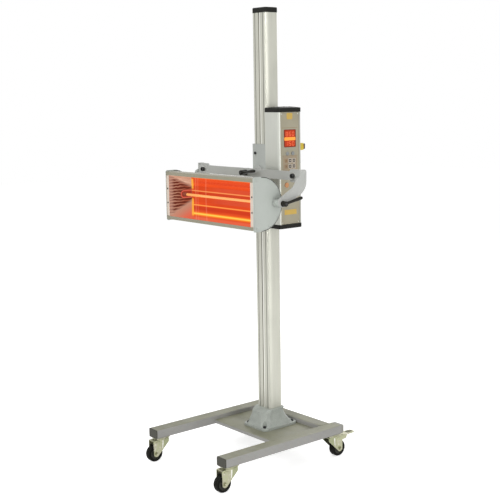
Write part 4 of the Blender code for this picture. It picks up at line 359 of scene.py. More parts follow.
def reflector_painted_light(name):
    """Polished sheet with the light of the hot tube painted on as glow, by its place in the tray.

    The glow carries painted reflections and glints. The walls mirror each other, so a painted
    reflection of the unlit end wall also shows in the walls above and below it.
    """
    sheet = Finish(name, 0.25, 0.0, 0.12)
    mix, span, band, times, minus = sheet.mix, sheet.span, sheet.band, sheet.times, sheet.minus
    depth = minus(sheet.y, MOUTH)
    height = minus(sheet.z, TILT.z)
    off_axis = sheet.absolute(height)
    along = minus(sheet.x, TILT.x)
    inside = times(span(depth, 0.0002, 0.0012),
                   band(along, 0.0, REFLECTOR_HALF_LENGTH - 0.0012, 0.0005))
    reach = times(depth, (REFLECTOR_MOUTH - REFLECTOR_BACK) / REFLECTOR_DEPTH)
    from_wall = minus(minus(REFLECTOR_MOUTH - 0.001, reach), off_axis)
    inside = times(inside, span(from_wall, -0.0004, 0.0002))
    inside = times(inside, span(depth, REFLECTOR_DEPTH - 0.0006, REFLECTOR_DEPTH - 0.0012))

    # painted light of the tube over the walls, uneven along them
    ripple = sheet.noise(26.0, 3.0, stretch=(0.25, 1.0, 1.0), distortion=0.5)
    fine = sheet.noise(240.0, 2.0, stretch=(0.05, 1.0, 1.0))
    glow = mix(ripple, (0.54, 0.026, 0.008), (0.82, 0.078, 0.014))
    glow = mix(times(fine, 0.30), glow, (0.84, 0.13, 0.016))
    near_back = span(depth, 0.100, 0.125)
    upper = span(height, 0.010, 0.020)
    lower = span(height, -0.010, -0.020)
    # painted reflections: bright and dark streaks along the walls
    painted_reflection_streaks = (
        (depth, 0.006, 0.0045, 0.006, upper, (1.0, 0.34, 0.03), 0.9),
        (depth, 0.070, 0.005, 0.02, upper, (0.58, 0.035, 0.010), 0.6),
        (depth, 0.046, 0.008, 0.009, lower, (1.0, 0.26, 0.015), 0.8),
        (depth, 0.046, 0.0035, 0.0035, lower, (1.0, 0.68, 0.09), 1.0),
        (depth, 0.012, 0.008, 0.01, lower, (0.78, 0.14, 0.07), 0.7),
        (depth, 0.085, 0.005, 0.015, lower, (0.48, 0.020, 0.006), 0.7),
        (height, 0.014, 0.0012, 0.0022, near_back, (1.0, 0.36, 0.10), 1.0),
        (height, 0.0, 0.006, 0.01, near_back, (0.50, 0.022, 0.006), 0.6),
        (depth, 0.106, 0.0026, 0.0034, lower, (1.0, 0.36, 0.07), 0.95),
    )
    for value, centre, half, soft, mask, colour, share in painted_reflection_streaks:
        line = times(band(value, centre, half, soft), mask)
        glow = mix(times(line, share), glow, colour)

    # painted reflection of the end wall, up to the painted reflection of the upright edge behind it
    edge = minus(PAINTED_MIRROR_EDGE - REFLECTOR_HALF_LENGTH,
                 times(depth, PAINTED_MIRROR_EDGE / REFLECTOR_DEPTH))
    past = minus(along, edge)
    for place, half, share in ((0.030, 0.003, 0.20), (0.046, 0.002, 0.14), (0.105, 0.0022, 0.20)):
        line = times(band(past, place, half, 0.0035), share)
        glow = mix(line, glow, (1.0, 0.42, 0.24))
    pale = mix(span(fine, 0.35, 0.65), (0.46, 0.24, 0.15), (0.72, 0.47, 0.34))
    rosy = mix(span(along, -0.285, -0.15), (0.50, 0.25, 0.17), (0.74, 0.13, 0.07))
    glow = mix(span(past, 0.004, -0.004), glow, mix(lower, pale, rosy))
    # painted glint near the end wall
    painted_glint = times(band(past, 0.006, 0.005, 0.005), band(off_axis, 0.051, 0.024, 0.010))
    glow = mix(times(painted_glint, 0.9), glow, (1.0, 0.48, 0.05))

    # the end walls themselves, in painted glow and painted reflection: stripes, a pale border, and
    # rings round the tube's socket
    wobble = times(sheet.noise(30.0, 2.0), 7.0)
    stripes = sheet.calc("SINE", sheet.calc("ADD", times(height, 480.0), wobble))
    dark = mix(sheet.noise(45.0, 2.0), (0.045, 0.014, 0.008), (0.110, 0.030, 0.018))
    between = mix(span(depth, 0.020, 0.100), (0.50, 0.27, 0.18), (0.30, 0.085, 0.045))
    pink = mix(span(stripes, 0.0, 0.8), dark, between)
    outside = span(depth, 0.034, 0.010)
    pink = mix(times(outside, 0.55), pink, (0.60, 0.36, 0.27))
    border = minus(REFLECTOR_MOUTH, sheet.calc("ADD", reach, off_axis))
    pink = mix(span(border, 0.016, 0.002, 0.0, 0.7), pink, (0.62, 0.36, 0.26))
    radius = sheet.distance(sheet.calc("MAXIMUM", minus(TUBE_DEPTH, depth), 0.0), height)
    pink = mix(span(radius, 0.019, 0.0165), pink, (0.72, 0.13, 0.085))
    pink = mix(span(radius, 0.0145, 0.012), pink, (0.34, 0.040, 0.020))
    end = span(sheet.absolute(along), REFLECTOR_HALF_LENGTH - 0.0022,
               REFLECTOR_HALF_LENGTH - 0.0018)
    glow = mix(end, glow, pink)
    # the sheet is no lamp: its whole glow is painted light of the tube, with painted reflections
    sheet.glow(glow, times(inside, 0.90))
    base = mix(inside, (0.62, 0.60, 0.56), (0.10, 0.02, 0.012))
    return sheet.done(base, fine, 0.10, sheet.calc("ADD", ripple, times(fine, 0.3)), 0.0004)


def tube_glow(name):
    """Quartz tube with its coiled filament shining through, dim at both ends."""
    tube = Finish(name, 0.10)
    along = tube.minus(tube.x, TILT.x)
    coil = tube.span(tube.calc("SINE", tube.times(along, 1500.0)), -0.4, 0.8)
    lit = tube.band(along, 0.0, 0.262, 0.010)
    hot = tube.mix(coil, (0.95, 0.34, 0.075), (1.0, 0.54, 0.17))
    fleck = tube.noise(300.0, 2.0)
    tube.colour(tube.mix(fleck, (0.16, 0.07, 0.04), (0.22, 0.10, 0.06)))
    tube.glow(tube.mix(lit, (0.45, 0.10, 0.05), hot), tube.calc("MULTIPLY_ADD", lit, 0.55, 0.35))
    tube.bump(tube.noise(500.0, 2.0), 0.00005)
    return tube.material


def mast_finish(name, colour):
    """Anodised extrusion with softly rounded long edges, painted shade in its front grooves and
    along the -X edge of its front face, a painted highlight on the slot's lip, and a painted glow
    in the hollow behind its slot.
    """
    metal, lines, base = extruded(name, colour, 0.36, 0.8, 0.10, 0.08)
    across = metal.minus(metal.x, AXIS.x)
    back = metal.minus(metal.y, AXIS.y)
    aside = metal.absolute(across)
    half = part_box("mast")[1] - AXIS

    front = metal.span(back, -half.y + 0.004, -half.y + 0.002)
    # painted shade: the grooves of the front face darker
    painted_groove_shade = metal.band(aside, 0.026, 0.0016, 0.0008)
    base = metal.mix(metal.times(painted_groove_shade, front), base, tint(colour, -0.45))
    # painted highlight: a pale line along the lip beside the slot
    painted_lip_highlight = metal.band(across, 0.0052, 0.0014, 0.0012)
    base = metal.mix(metal.times(painted_lip_highlight, front), base, (0.88, 0.88, 0.82))
    # painted shade: the front face darker along its -X edge
    edge = metal.times(metal.span(across, -half.x + 0.005, -half.x + 0.001), front)
    base = metal.mix(metal.times(edge, 0.9), base, tint(colour, -0.55))
    # painted light: the hollow behind the slot glows pale instead of lying in shade
    painted_hollow_glow = metal.times(metal.band(across, 0.0, 0.0405, 0.0008),
                         metal.band(back, 0.0008, 0.0316, 0.0008))
    metal.glow((0.50, 0.50, 0.45), metal.times(painted_hollow_glow, 0.55))

    # the wide faces roll off towards the front, as on a drawn profile
    rolled = metal.calc("MAXIMUM", metal.minus(-half.y + ROLLED_EDGE, back), 0.0)
    rolled = metal.times(metal.times(rolled, rolled), -0.5 * ROLLED_SLOPE / ROLLED_EDGE)
    rolled = metal.times(rolled, metal.span(aside, half.x - 0.006, half.x - 0.002))
    relief = metal.calc("ADD", rolled, metal.times(lines, 0.00006))
    return metal.done(base, lines, 0.16, relief, 1.0)


def box_finish(name, colour, film):
    """Anodised box extrusion, whose panel side carries the edges of the printed film."""
    metal, lines, base = extruded(name, colour, 0.34, 0.7, 0.06, 0.06, 2.0)
    front, rear = (corner.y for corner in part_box("control_panel"))
    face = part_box("control_box")[1].x
    side = metal.span(metal.x, face - 0.0012, face - 0.0006)
    front_rail = metal.times(metal.span(metal.y, front - 0.005, front - 0.004),
                             metal.span(metal.y, front + 0.010, front + 0.008))
    rear_rail = metal.times(metal.span(metal.y, rear - 0.010, rear - 0.008),
                            metal.span(metal.y, rear + 0.0062, rear + 0.0052))
    seam = metal.band(metal.y, rear + 0.0062, 0.0005, 0.0006)
    base = metal.mix(metal.times(side, front_rail), base, film)
    base = metal.mix(metal.times(metal.times(side, rear_rail), 0.45), base, film)
    base = metal.mix(metal.times(metal.times(side, seam), 0.8), base, (0.08, 0.08, 0.07))
    return metal.done(base, lines, 0.12, lines, 0.00005)


def end_plate_finish(name, colour):
    """Powder coat with the fine dark joint that follows the plate's rounded edge."""
    paint, base = powder_base(name, colour)
    out = paint.minus(paint.y, LAMP_FRONT + ROUND_BACK)
    radius = paint.distance(out, paint.minus(paint.z, TILT.z))
    half = (lamp_high.z - lamp_low.z) / 2
    joint = paint.times(paint.band(radius, half - 0.002, 0.0012, 0.0006),
                        paint.span(out, -0.004, 0.004))
    base = paint.mix(joint, base, (0.035, 0.035, 0.03))
    skin = paint.minus(paint.times(paint.noise(430.0, 2.0), 0.0001), paint.times(joint, 0.0006))
    return paint.done(base, paint.noise(55.0, 3.0), 0.16, skin, 1.0)


MATERIALS = {
    "frame": frame_paint("frame_paint", (0.318, 0.314, 0.298), (0.226, 0.224, 0.150)),
    "foot": casting("foot_casting", (0.355, 0.380, 0.345)),
    "mast": mast_finish("mast_anodised", (0.52, 0.52, 0.455)),
    "box": box_finish("box_anodised", (0.55, 0.56, 0.51), (0.340, 0.312, 0.232)),
    "carriage": powder_coat("carriage_paint", (0.430, 0.450, 0.425)),
    "yoke": powder_coat("yoke_paint", (0.440, 0.448, 0.425)),
    "lamp": powder_coat("housing_paint", (0.285, 0.266, 0.192)),
    "plate": end_plate_finish("end_plate_paint", (0.440, 0.470, 0.435)),
    "zinc": zinc_plate("zinc_plate"),
    # near white, as a painted highlight on the fork legs' bent edges
    "painted_highlight_edge": fine_steel("painted_highlight_edge", (0.94, 0.94, 0.86), 0.30, 0.25),
    "steel": fine_steel("machined_steel"),
    "bright": fine_steel("bright_steel", (0.62, 0.62, 0.58), 0.30),
    "black_oxide": fine_steel("black_oxide", (0.010, 0.010, 0.010), 0.45, 0.0),
    "black": moulded("black_plastic", (0.010, 0.010, 0.008), 0.5, specular=0.16),
    "lever": moulded("lever_plastic", (0.010, 0.009, 0.006), 0.42, specular=0.22),
    "plug": moulded("plug_plastic", (0.058, 0.057, 0.045), 0.5, specular=0.25),
    "rear_plug": moulded("rear_plug_plastic", (0.290, 0.290, 0.262), 0.5, specular=0.3),
    "ceramic": moulded("ceramic", (0.30, 0.085, 0.055), 0.6, 0.0002, 0.06, 0.2),
    "panel": printed_panel("panel_film", (0.355, 0.325, 0.235)),
    "keypad": printed_panel("keypad_mat", (0.345, 0.275, 0.185)),
    "window": window_red("display_window"),
    "digit": glowing("lit_digits", (0.86, 0.14, 0.03), 0.8, (0.20, 0.02, 0.01)),
    "bar": glowing("lit_bar", (1.0, 0.34, 0.035), 0.95, (0.30, 0.10, 0.01)),
    "blue": moulded("button_blue", (0.235, 0.250, 0.245), 0.4),
    "orange": glowing("button_orange", (0.70, 0.22, 0.05), 0.10, (0.46, 0.225, 0.095)),
    "yellow": moulded("switch_yellow", (0.66, 0.50, 0.05), 0.42, 0.0001, 0.05),
    "label": printed_panel("plain_plate", (0.60, 0.40, 0.085)),
    "knob": knob_finish("switch_knob"),
    "reflector": reflector_painted_light("reflector_sheet"),
    "trim": bright_trim("reflector_trim", (0.66, 0.56, 0.47)),
    "tube": tube_glow("quartz_tube"),
    "mark_dark": printed_panel("print_dark", (0.055, 0.036, 0.024)),
    "mark_brown": printed_panel("print_brown", (0.150, 0.090, 0.045)),
    "mark_tan": printed_panel("print_tan", (0.285, 0.185, 0.100)),
    "mark_light": printed_panel("print_light", (0.74, 0.70, 0.62)),
}

NODE_FINISHES = {
    "frame": ("rail_left", "rail_right", "rear_cross_tube", "base_plate"),
    "plug": ("rail_plug_front_left", "rail_plug_front_right"),
    "rear_plug": ("rail_plug_rear_left", "rail_plug_rear_right"),
    "foot": ("mast_foot",),
    "mast": ("mast",),
    "black": ("mast_cap", "box_cap_top", "box_cap_bottom", "box_cable_gland", "lamp_cable_gland",
              "pivot_bolt", "cable_pulley"),
    "steel": ("pulley_bracket", "pulley_axle", "lift_cable", "counterweight", "cable_clamp"),
    "carriage": ("carriage",),
    "yoke": ("yoke_spindle", "yoke_bar", "yoke_arm_left", "yoke_arm_right"),
    "box": ("control_box",),
    "panel": ("control_panel",),
    "window": ("display_window",),
    "keypad": ("keypad",),
    "yellow": ("switch_plate",),
    "knob": ("switch_knob",),
    "blue": ("button_down", "button_up"),
    "orange": ("button_start",),
    "lever": ("swivel_lever", "tilt_lever"),
    "lamp": ("lamp_housing",),
    "plate": ("end_plate_left", "end_plate_right"),
    "reflector": ("reflector",),
    "ceramic": ("tube_socket_left", "tube_socket_right"),
    "tube": ("quartz_tube",),
    "zinc": ("brake_pedal_rear_left", "brake_pedal_rear_right"),
}
CORNERS = ("front_left", "front_right", "rear_left", "rear_right")
SIDES = (("left", -1), ("right", 1))
FORWARD, BACKWARD, UP = (0, -1, 0), (0, 1, 0), (0, 0, 1)


def fork_bend(corner):
    """Y of the bend in a caster fork's legs, and the way from the wheel to the bend."""
    way = 1 if corner.startswith("front") else -1
    return middle("caster_wheel_" + corner).y + way * AXLE_FROM_SWIVEL, way


def dress(node, material):
    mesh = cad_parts[node].data
    mesh.materials.clear()
    mesh.materials.append(material)


for finish, nodes in NODE_FINISHES.items():
    for node in nodes:
        dress(node, MATERIALS[finish])
for corner in CORNERS:
    bend, way = fork_bend(corner)
    dress("caster_plate_" + corner, MATERIALS["zinc"])
    dress("caster_fork_" + corner, zinc_plate("fork_" + corner, bend + way * 0.001, way))
    dress("caster_wheel_" + corner, tyre("tyre_" + corner, middle("caster_wheel_" + corner)))


# Shapes


def facing(axis, place):
    """Matrix that puts local +Z along the axis, at that place."""
    matrix = Vector(axis).to_track_quat("Z", "Y").to_matrix().to_4x4()
    matrix.translation = Vector(place)
    return matrix


def ring_radius(form, size, angle):
    """Radius of a round or hexagonal ring at an angle. A hexagon's size is half its width."""
    if form == "round":
        return size
    turn = (angle + math.pi / 6) % (math.pi / 3) - math.pi / 6
    return size / math.cos(turn)


def add_turned(bm, rows, matrix):
    """Adds a closed turned solid. Each row is (form, size, height), and size 0 is a point."""
    steps = 24
    rings = []
    for form, size, height in rows:
        if size == 0:
            rings.append([bm.verts.new(matrix @ Vector((0, 0, height)))])
            continue
        ring = []
        for step in range(steps):
            angle = 2 * math.pi * step / steps
            radius = ring_radius(form, size, angle)
            spot = Vector((radius * math.cos(angle), radius * math.sin(angle), height))
            ring.append(bm.verts.new(matrix @ spot))
        rings.append(ring)
    for ring, following in zip(rings, rings[1:]):
        for index in range(steps):
            after = (index + 1) % steps
            corners = [ring[index % len(ring)], ring[after % len(ring)],
                       following[after % len(following)], following[index % len(following)]]
            bm.faces.new(list(dict.fromkeys(corners)))


def join_rings(bm, rings, closed=False):
    """Joins each ring to the next, then the last to the first, or else caps both ends."""
    for ring, following in zip(rings, rings[1:] + rings[:1] if closed else rings[1:]):
        for index in range(len(ring)):
            after = (index + 1) % len(ring)
            bm.faces.new((ring[index], ring[after], following[after], following[index]))
    if not closed:
        bm.faces.new(rings[0])
        bm.faces.new(rings[-1])


def oval_ring(bm, matrix, half_x, half_y, height, steps, centre_x=0.0):
    ring = []
    for step in range(steps):
        angle = 2 * math.pi * step / steps
        spot = Vector((centre_x + half_x * math.cos(angle), half_y * math.sin(angle), height))
        ring.append(bm.verts.new(matrix @ spot))
    return ring


def half_ring(bm, spot, across, out):
    """Seven vertices over half an oval, from one side of the spot over the outside to the other."""
    ring = []
    for turn in range(7):
        angle = math.pi * turn / 6
        ring.append(bm.verts.new(spot + across * math.cos(angle) + out * math.sin(angle)))
    return ring


def add_prism(bm, outline, matrix, height, chamfer=0.0):
    """Adds an outline in local X and Y, extruded along local Z, with a chamfer round its top."""
    levels = [(0.0, 0.0), (height - chamfer, 0.0)]
    if chamfer:
        levels.append((height, chamfer))
    points = [Vector(point) for point in outline]
    centre = sum(points, Vector((0, 0))) / len(points)
    rings = []
    for level, inset in levels:
        spots = [point + (centre - point).normalized() * inset for point in points]
        rings.append([bm.verts.new(matrix @ Vector((spot.x, spot.y, level))) for spot in spots])
    join_rings(bm, rings)


def rounded(half_x, half_y, radius, centre=(0.0, 0.0), steps=4):
    """Outline of a rectangle with rounded corners."""
    points = []
    for sign_x, sign_y, start in ((1, -1, -90), (1, 1, 0), (-1, 1, 90), (-1, -1, 180)):
        for step in range(steps + 1):
            angle = math.radians(start + 90 * step / steps)
            points.append((centre[0] + sign_x * (half_x - radius) + radius * math.cos(angle),
                           centre[1] + sign_y * (half_y - radius) + radius * math.sin(angle)))
    return points


def show(name, data):
    """Puts an object with that data in the scene."""
    obj = bpy.data.objects.new(name, data)
    bpy.context.scene.collection.objects.link(obj)
    return obj


def show_mesh(name, bm, material):
    mesh = bpy.data.meshes.new(name)
    bm.to_mesh(mesh)
    bm.free()
    mesh.materials.append(material)
    return show(name, mesh)


def piece(name, bm, finish, body):
    """Makes a shown piece from a mesh, with its finish, that rides a body."""
    bmesh.ops.recalc_face_normals(bm, faces=bm.faces)
    obj = show_mesh(name, bm, MATERIALS[finish])
    obj.data.shade_smooth()
    obj.data.set_sharp_from_angle(angle=math.radians(32))
    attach(obj, body)


def socket_head(bm, matrix, radius, height, shank_radius=0.0, shank=0.0):
    """A cap screw's head with a hexagon socket, and its shank below."""
    edge = radius * 0.12
    rows = [("round", 0, -shank)]
    if shank:
        rows += [("round", shank_radius, -shank), ("round", shank_radius, 0)]
    rows += [("round", radius, 0), ("round", radius, height - edge),
             ("round", radius - edge, height), ("hex", radius * 0.50, height),
             ("hex", radius * 0.47, height * 0.45), ("round", 0, height * 0.45)]
    add_turned(bm, rows, matrix)


def button_head(bm, matrix, radius, height):
    """A low domed screw with a small hexagon socket."""
    rows = [("round", 0, 0), ("round", radius, 0), ("round", radius * 0.94, height * 0.45),
            ("round", radius * 0.72, height * 0.85), ("round", radius * 0.5, height),
            ("hex", radius * 0.34, height), ("hex", radius * 0.32, height * 0.4),
            ("round", 0, height * 0.4)]
    add_turned(bm, rows, matrix)


def hex_head(bm, matrix, half_width, height):
    """A hexagon head or nut with its chamfered top and a domed end."""
    rows = [("round", 0, 0), ("hex", half_width, 0), ("hex", half_width, height * 0.82),
            ("round", half_width * 0.93, height), ("round", half_width * 0.5, height),
            ("round", half_width * 0.42, height * 1.25), ("round", 0, height * 1.32)]
    add_turned(bm, rows, matrix)


def washer(bm, matrix, inner, outer, thickness):
    edge = thickness * 0.25
    profile = ((inner, 0), (outer, 0), (outer, thickness - edge), (outer - edge, thickness),
               (inner, thickness))
    rings = [oval_ring(bm, matrix, radius, radius, height, 28) for radius, height in profile]
    join_rings(bm, rings, closed=True)


# Yoke


def make_yoke_fixings():
    """The bolts at the ends of the yoke bar with their washers and nuts, and the levers' screws."""
    bar_low, bar_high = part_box("yoke_bar")
    height = middle("yoke_bar").z
    flange, front_washer, rear_washer = 0.006, 0.0016, 0.0014
    flange_rear = bar_high.y + GAP + flange
    head_base = bar_low.y - 2 * GAP - front_washer
    for side, x in (("left", bar_low.x + BAR_BOLT_INSET), ("right", bar_high.x - BAR_BOLT_INSET)):
        disc = bmesh.new()
        washer(disc, facing(FORWARD, (x, bar_low.y - GAP, height)), 0.0043, 0.0145, front_washer)
        washer(disc, facing(BACKWARD, (x, flange_rear + GAP, height)), 0.0043, 0.0105, rear_washer)
        piece("bar_washers_" + side, disc, "bright", "yoke")
        screw = bmesh.new()
        socket_head(screw, facing(FORWARD, (x, head_base, height)), 0.0105, 0.0095, 0.0038,
                    flange_rear - head_base + 0.002)
        piece("bar_screw_" + side, screw, "black_oxide", "yoke")
        nut = bmesh.new()
        nut_at = (x, flange_rear + 3 * GAP + rear_washer, height)
        hex_head(nut, facing(BACKWARD, nut_at), 0.0065, 0.0065)
        piece("bar_nut_" + side, nut, "bright", "yoke")

    arm_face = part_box("yoke_arm_right")[1].x
    for lever, axis, place in (
            ("swivel_lever", FORWARD, (AXIS.x, bar_low.y - 2 * GAP - SWIVEL_HUB, height)),
            ("tilt_lever", (1, 0, 0), (arm_face + 2 * GAP + TILT_HUB, TILT.y, TILT.z))):
        hub = bmesh.new()
        button_head(hub, facing(axis, place), 0.0062, 0.0016)
        piece(lever + "_screw", hub, "black_oxide", lever)


make_yoke_fixings()


# Lamp


def make_lamp_details():
    """Screws of the end plates, and the bright end trims of the reflector with their screws."""
    screw_circle, trim_inner, trim_thickness = 0.0985, REFLECTOR_HALF_LENGTH - 0.0075, 0.0012
    angles = [math.radians(angle) for angle in (-68, -34, 34, 68)]
    spots = [(ROUND_BACK + screw_circle * math.cos(angle), screw_circle * math.sin(angle))
             for angle in angles] + [(0.014, -0.096), (0.014, 0.096)]
    for side, sign in SIDES:
        face = TILT.x + sign * (LAMP_HALF_LENGTH + GAP)
        screws = bmesh.new()
        for y, z in spots:
            place = (face, LAMP_FRONT + y, TILT.z + z)
            button_head(screws, facing((sign, 0, 0), place), 0.0034, 0.0018)
        piece("end_plate_screws_" + side, screws, "plate", "lamp")

        centre = TILT.x + sign * (trim_inner + HOUSING_HALF_LENGTH) / 2
        outline = rounded((HOUSING_HALF_LENGTH - trim_inner) / 2, HOUSING_LIP_EDGE - 0.0008, 0.001)
        at_mouth = facing(FORWARD, (centre, MOUTH - GAP, TILT.z))
        trim = bmesh.new()
        add_prism(trim, outline, at_mouth, trim_thickness, 0.0003)
        piece("reflector_trim_" + side, trim, "trim", "lamp")
        heads = bmesh.new()
        for z in (-0.0315, 0.0315):
            place = (centre + sign * 0.0006, MOUTH - 2 * GAP - trim_thickness, TILT.z + z)
            button_head(heads, facing(FORWARD, place), 0.0038, 0.0016)
        piece("trim_screws_" + side, heads, "black_oxide", "lamp")


make_lamp_details()


# Control box


def panel_frame(x, y, z):
    """On the panel: local X runs along +Y, local Y up and local Z out of it."""
    return Matrix(((0, 0, 1, x), (1, 0, 0, y), (0, 1, 0, z), (0, 0, 0, 1)))


def back_frame(x, y, z):
    """On the box's back: local X runs along -X, local Y up and local Z out of it."""
    return Matrix(((-1, 0, 0, x), (0, 0, 1, y), (0, 1, 0, z), (0, 0, 0, 1)))


def make_display(face, centre):
    """Lit bar, and digits made of strokes a to g."""
    at_bar = panel_frame(face, centre.y - 0.0005, centre.z - 0.002)
    bar = bmesh.new()
    add_prism(bar, rounded(0.0315, 0.0068, 0.0012), at_bar, 0.0005, 0.0002)
    piece("display_bar", bar, "bar", "carriage")

    segments = {"0": "abcdef", "1": "bc", "5": "afgcd", "6": "afgedc", "8": "abcdefg"}
    places = {"a": (0, 1), "b": (1, 0.5), "c": (1, -0.5), "d": (0, -1), "e": (-1, -0.5),
              "f": (-1, 0.5), "g": (0, 0)}
    half_width, half_height, half_stroke = 0.005, 0.01025, 0.0013
    upright, flat = (half_stroke, half_height * 0.36), (half_width - 0.0004, half_stroke)
    for label, text, z in (("upper", "860", centre.z + 0.0185),
                           ("lower", "150", centre.z - 0.0225)):
        digits = bmesh.new()
        for index, figure in enumerate(text):
            at_figure = panel_frame(face, centre.y + (index - 1) * 0.018, z)
            for letter in segments[figure]:
                u, v = places[letter]
                half_sizes = upright if u else flat
                spot = (u * half_width, v * half_height * 0.78)
                outline = rounded(*half_sizes, half_stroke * 0.7, spot, 2)
                add_prism(digits, outline, at_figure, 0.0004)
        piece("display_digits_" + label, digits, "digit", "carriage")


def make_key_prints():
    """Frames, signs and arrows of the keys."""
    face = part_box("keypad")[1].x + FLUSH
    middle_y, middle_z = middle("keypad").y - 0.002, middle("keypad").z - 0.0015
    column_pitch, row_pitch = 0.0222, 0.0245
    for label, columns, finish, half_y, half_z, lift in (
            ("frames", (0, 1), "mark_light", 0.0084, 0.0094, 0.0),
            ("dark", (0, 1), "mark_dark", 0.0066, 0.0076, 0.0003),
            ("signs", (0, 1), "mark_light", 0.002, 0.0024, 0.0006),
            ("side", (-1,), "mark_tan", 0.0072, 0.0082, 0.0)):
        tops = bmesh.new()
        for column in columns:
            for row in (-0.5, 0.5):
                at_key = panel_frame(face + lift, middle_y + column * column_pitch,
                                     middle_z + row * row_pitch)
                add_prism(tops, rounded(half_y, half_z, 0.0018), at_key, 0.0002)
        piece("key_prints_" + label, tops, finish, "carriage")
    arrows = bmesh.new()
    for row, turn in ((0.5, 0), (-0.5, 180)):
        matrix = panel_frame(face + 0.0003, middle_y - column_pitch, middle_z + row * row_pitch)
        add_prism(arrows, ((0.0, 0.0036), (-0.0032, -0.0022), (0.0032, -0.0022)),
                  matrix @ Matrix.Rotation(math.radians(turn), 4, "Z"), 0.00015)
    piece("key_arrows", arrows, "mark_brown", "carriage")


def make_panel_details():
    """Lit display, key symbols, plain plates, border lines and screws of the panel."""
    window_low, window_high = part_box("display_window")
    centre = (window_low + window_high) / 2
    make_display(window_high.x + FLUSH, centre)
    make_key_prints()

    key_low, key_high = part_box("keypad")
    low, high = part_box("control_panel")
    face, half = high.x + FLUSH, (high.y - low.y) / 2
    lines = bmesh.new()
    for z in (key_low.z - 0.003, key_high.z + 0.001, window_high.z + 0.0075):
        at_line = panel_frame(face, centre.y, z)
        add_prism(lines, rounded(half - 0.006, 0.0007, 0.0004), at_line, 0.00018)
    piece("panel_lines", lines, "mark_tan", "carriage")
    for label, y, z, half_y, half_z, corner in (
            ("lower", centre.y, low.z + 0.052, 0.0345, 0.011, 0.002),
            ("upper", centre.y - 0.001, high.z - 0.0172, 0.0165, 0.0135, 0.006)):
        plate = bmesh.new()
        add_prism(plate, rounded(half_y, half_z, corner), panel_frame(face, y, z), 0.0006, 0.0002)
        piece("plain_plate_" + label, plate, "label", "carriage")

    screws = bmesh.new()
    half -= 0.0055
    for y in (centre.y - half, centre.y + half):
        for z in (low.z + 0.007, high.z - 0.007):
            button_head(screws, facing((1, 0, 0), (face, y, z)), 0.0028, 0.0013)
    piece("panel_screws", screws, "bright", "carriage")


make_panel_details()


def make_box_details():
    """Cap screws, the marks of the main switch and its pointer."""
    for end, sign in (("top", 1), ("bottom", -1)):
        low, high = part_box("box_cap_" + end)
        centre = (low + high) / 2
        face = (high.z if sign > 0 else low.z) + sign * FLUSH
        screws = bmesh.new()
        for x in (-0.017, 0.017):
            for y in (-0.024, 0.024):
                place = (centre.x + x, centre.y + y, face)
                button_head(screws, facing((0, 0, sign), place), 0.0032, 0.0014)
        piece("cap_screws_" + end, screws, "bright", "carriage")

    low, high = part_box("switch_plate")
    centre = (low + high) / 2
    at_plate = back_frame(centre.x, high.y + FLUSH, centre.z)
    from_middle, rise = 0.0144, 0.0003
    marks = bmesh.new()
    add_prism(marks, rounded(0.0006, 0.0007, 0.0003, (0.0, from_middle)), at_plate, rise)
    outer, inner = (0.0007, 0.001), (0.0003, 0.0005)
    rings = [oval_ring(marks, at_plate, *sizes, level, 20, from_middle)
             for sizes, level in ((outer, 0.0), (outer, rise), (inner, rise), (inner, 0.0))]
    join_rings(marks, rings, closed=True)
    piece("switch_marks", marks, "mark_dark", "carriage")

    at_knob = back_frame(centre.x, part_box("switch_knob")[1].y + FLUSH, centre.z)
    pointer = bmesh.new()
    add_prism(pointer, rounded(0.0009, 0.0045, 0.0006, (0.0, 0.007)), at_knob, 0.0003)
    piece("switch_pointer", pointer, "mark_light", "switch_knob")


make_box_details()


# Carriage, foot and wheels


def make_fork_edges(corner, wheel):
    """The bead down each fork leg at its bend, near white as a painted highlight of the bent edge.
    """
    bend, way = fork_bend(corner)
    top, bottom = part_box("caster_fork_" + corner)[1].z - 0.005, wheel.z + 0.020
    for side, sign in SIDES:
        face = wheel.x + sign * (FORK_HALF_WIDTH + FLUSH)
        bm = bmesh.new()
        rings = []
        for step in range(13):
            share = step / 12
            y = bend - way * (0.001 + 0.004 * share * share)
            spot = Vector((face, y, top + (bottom - top) * share))
            width = 0.003 * (1.0 - 0.35 * share)
            rise = 0.0016 * min(1.0, 0.25 + 5 * min(share, 1 - share))
            rings.append(half_ring(bm, spot, Vector((0, width, 0)), Vector((sign * rise, 0, 0))))
        join_rings(bm, rings)
        piece("fork_edge_" + corner + "_" + side, bm, "painted_highlight_edge", "caster_" + corner)


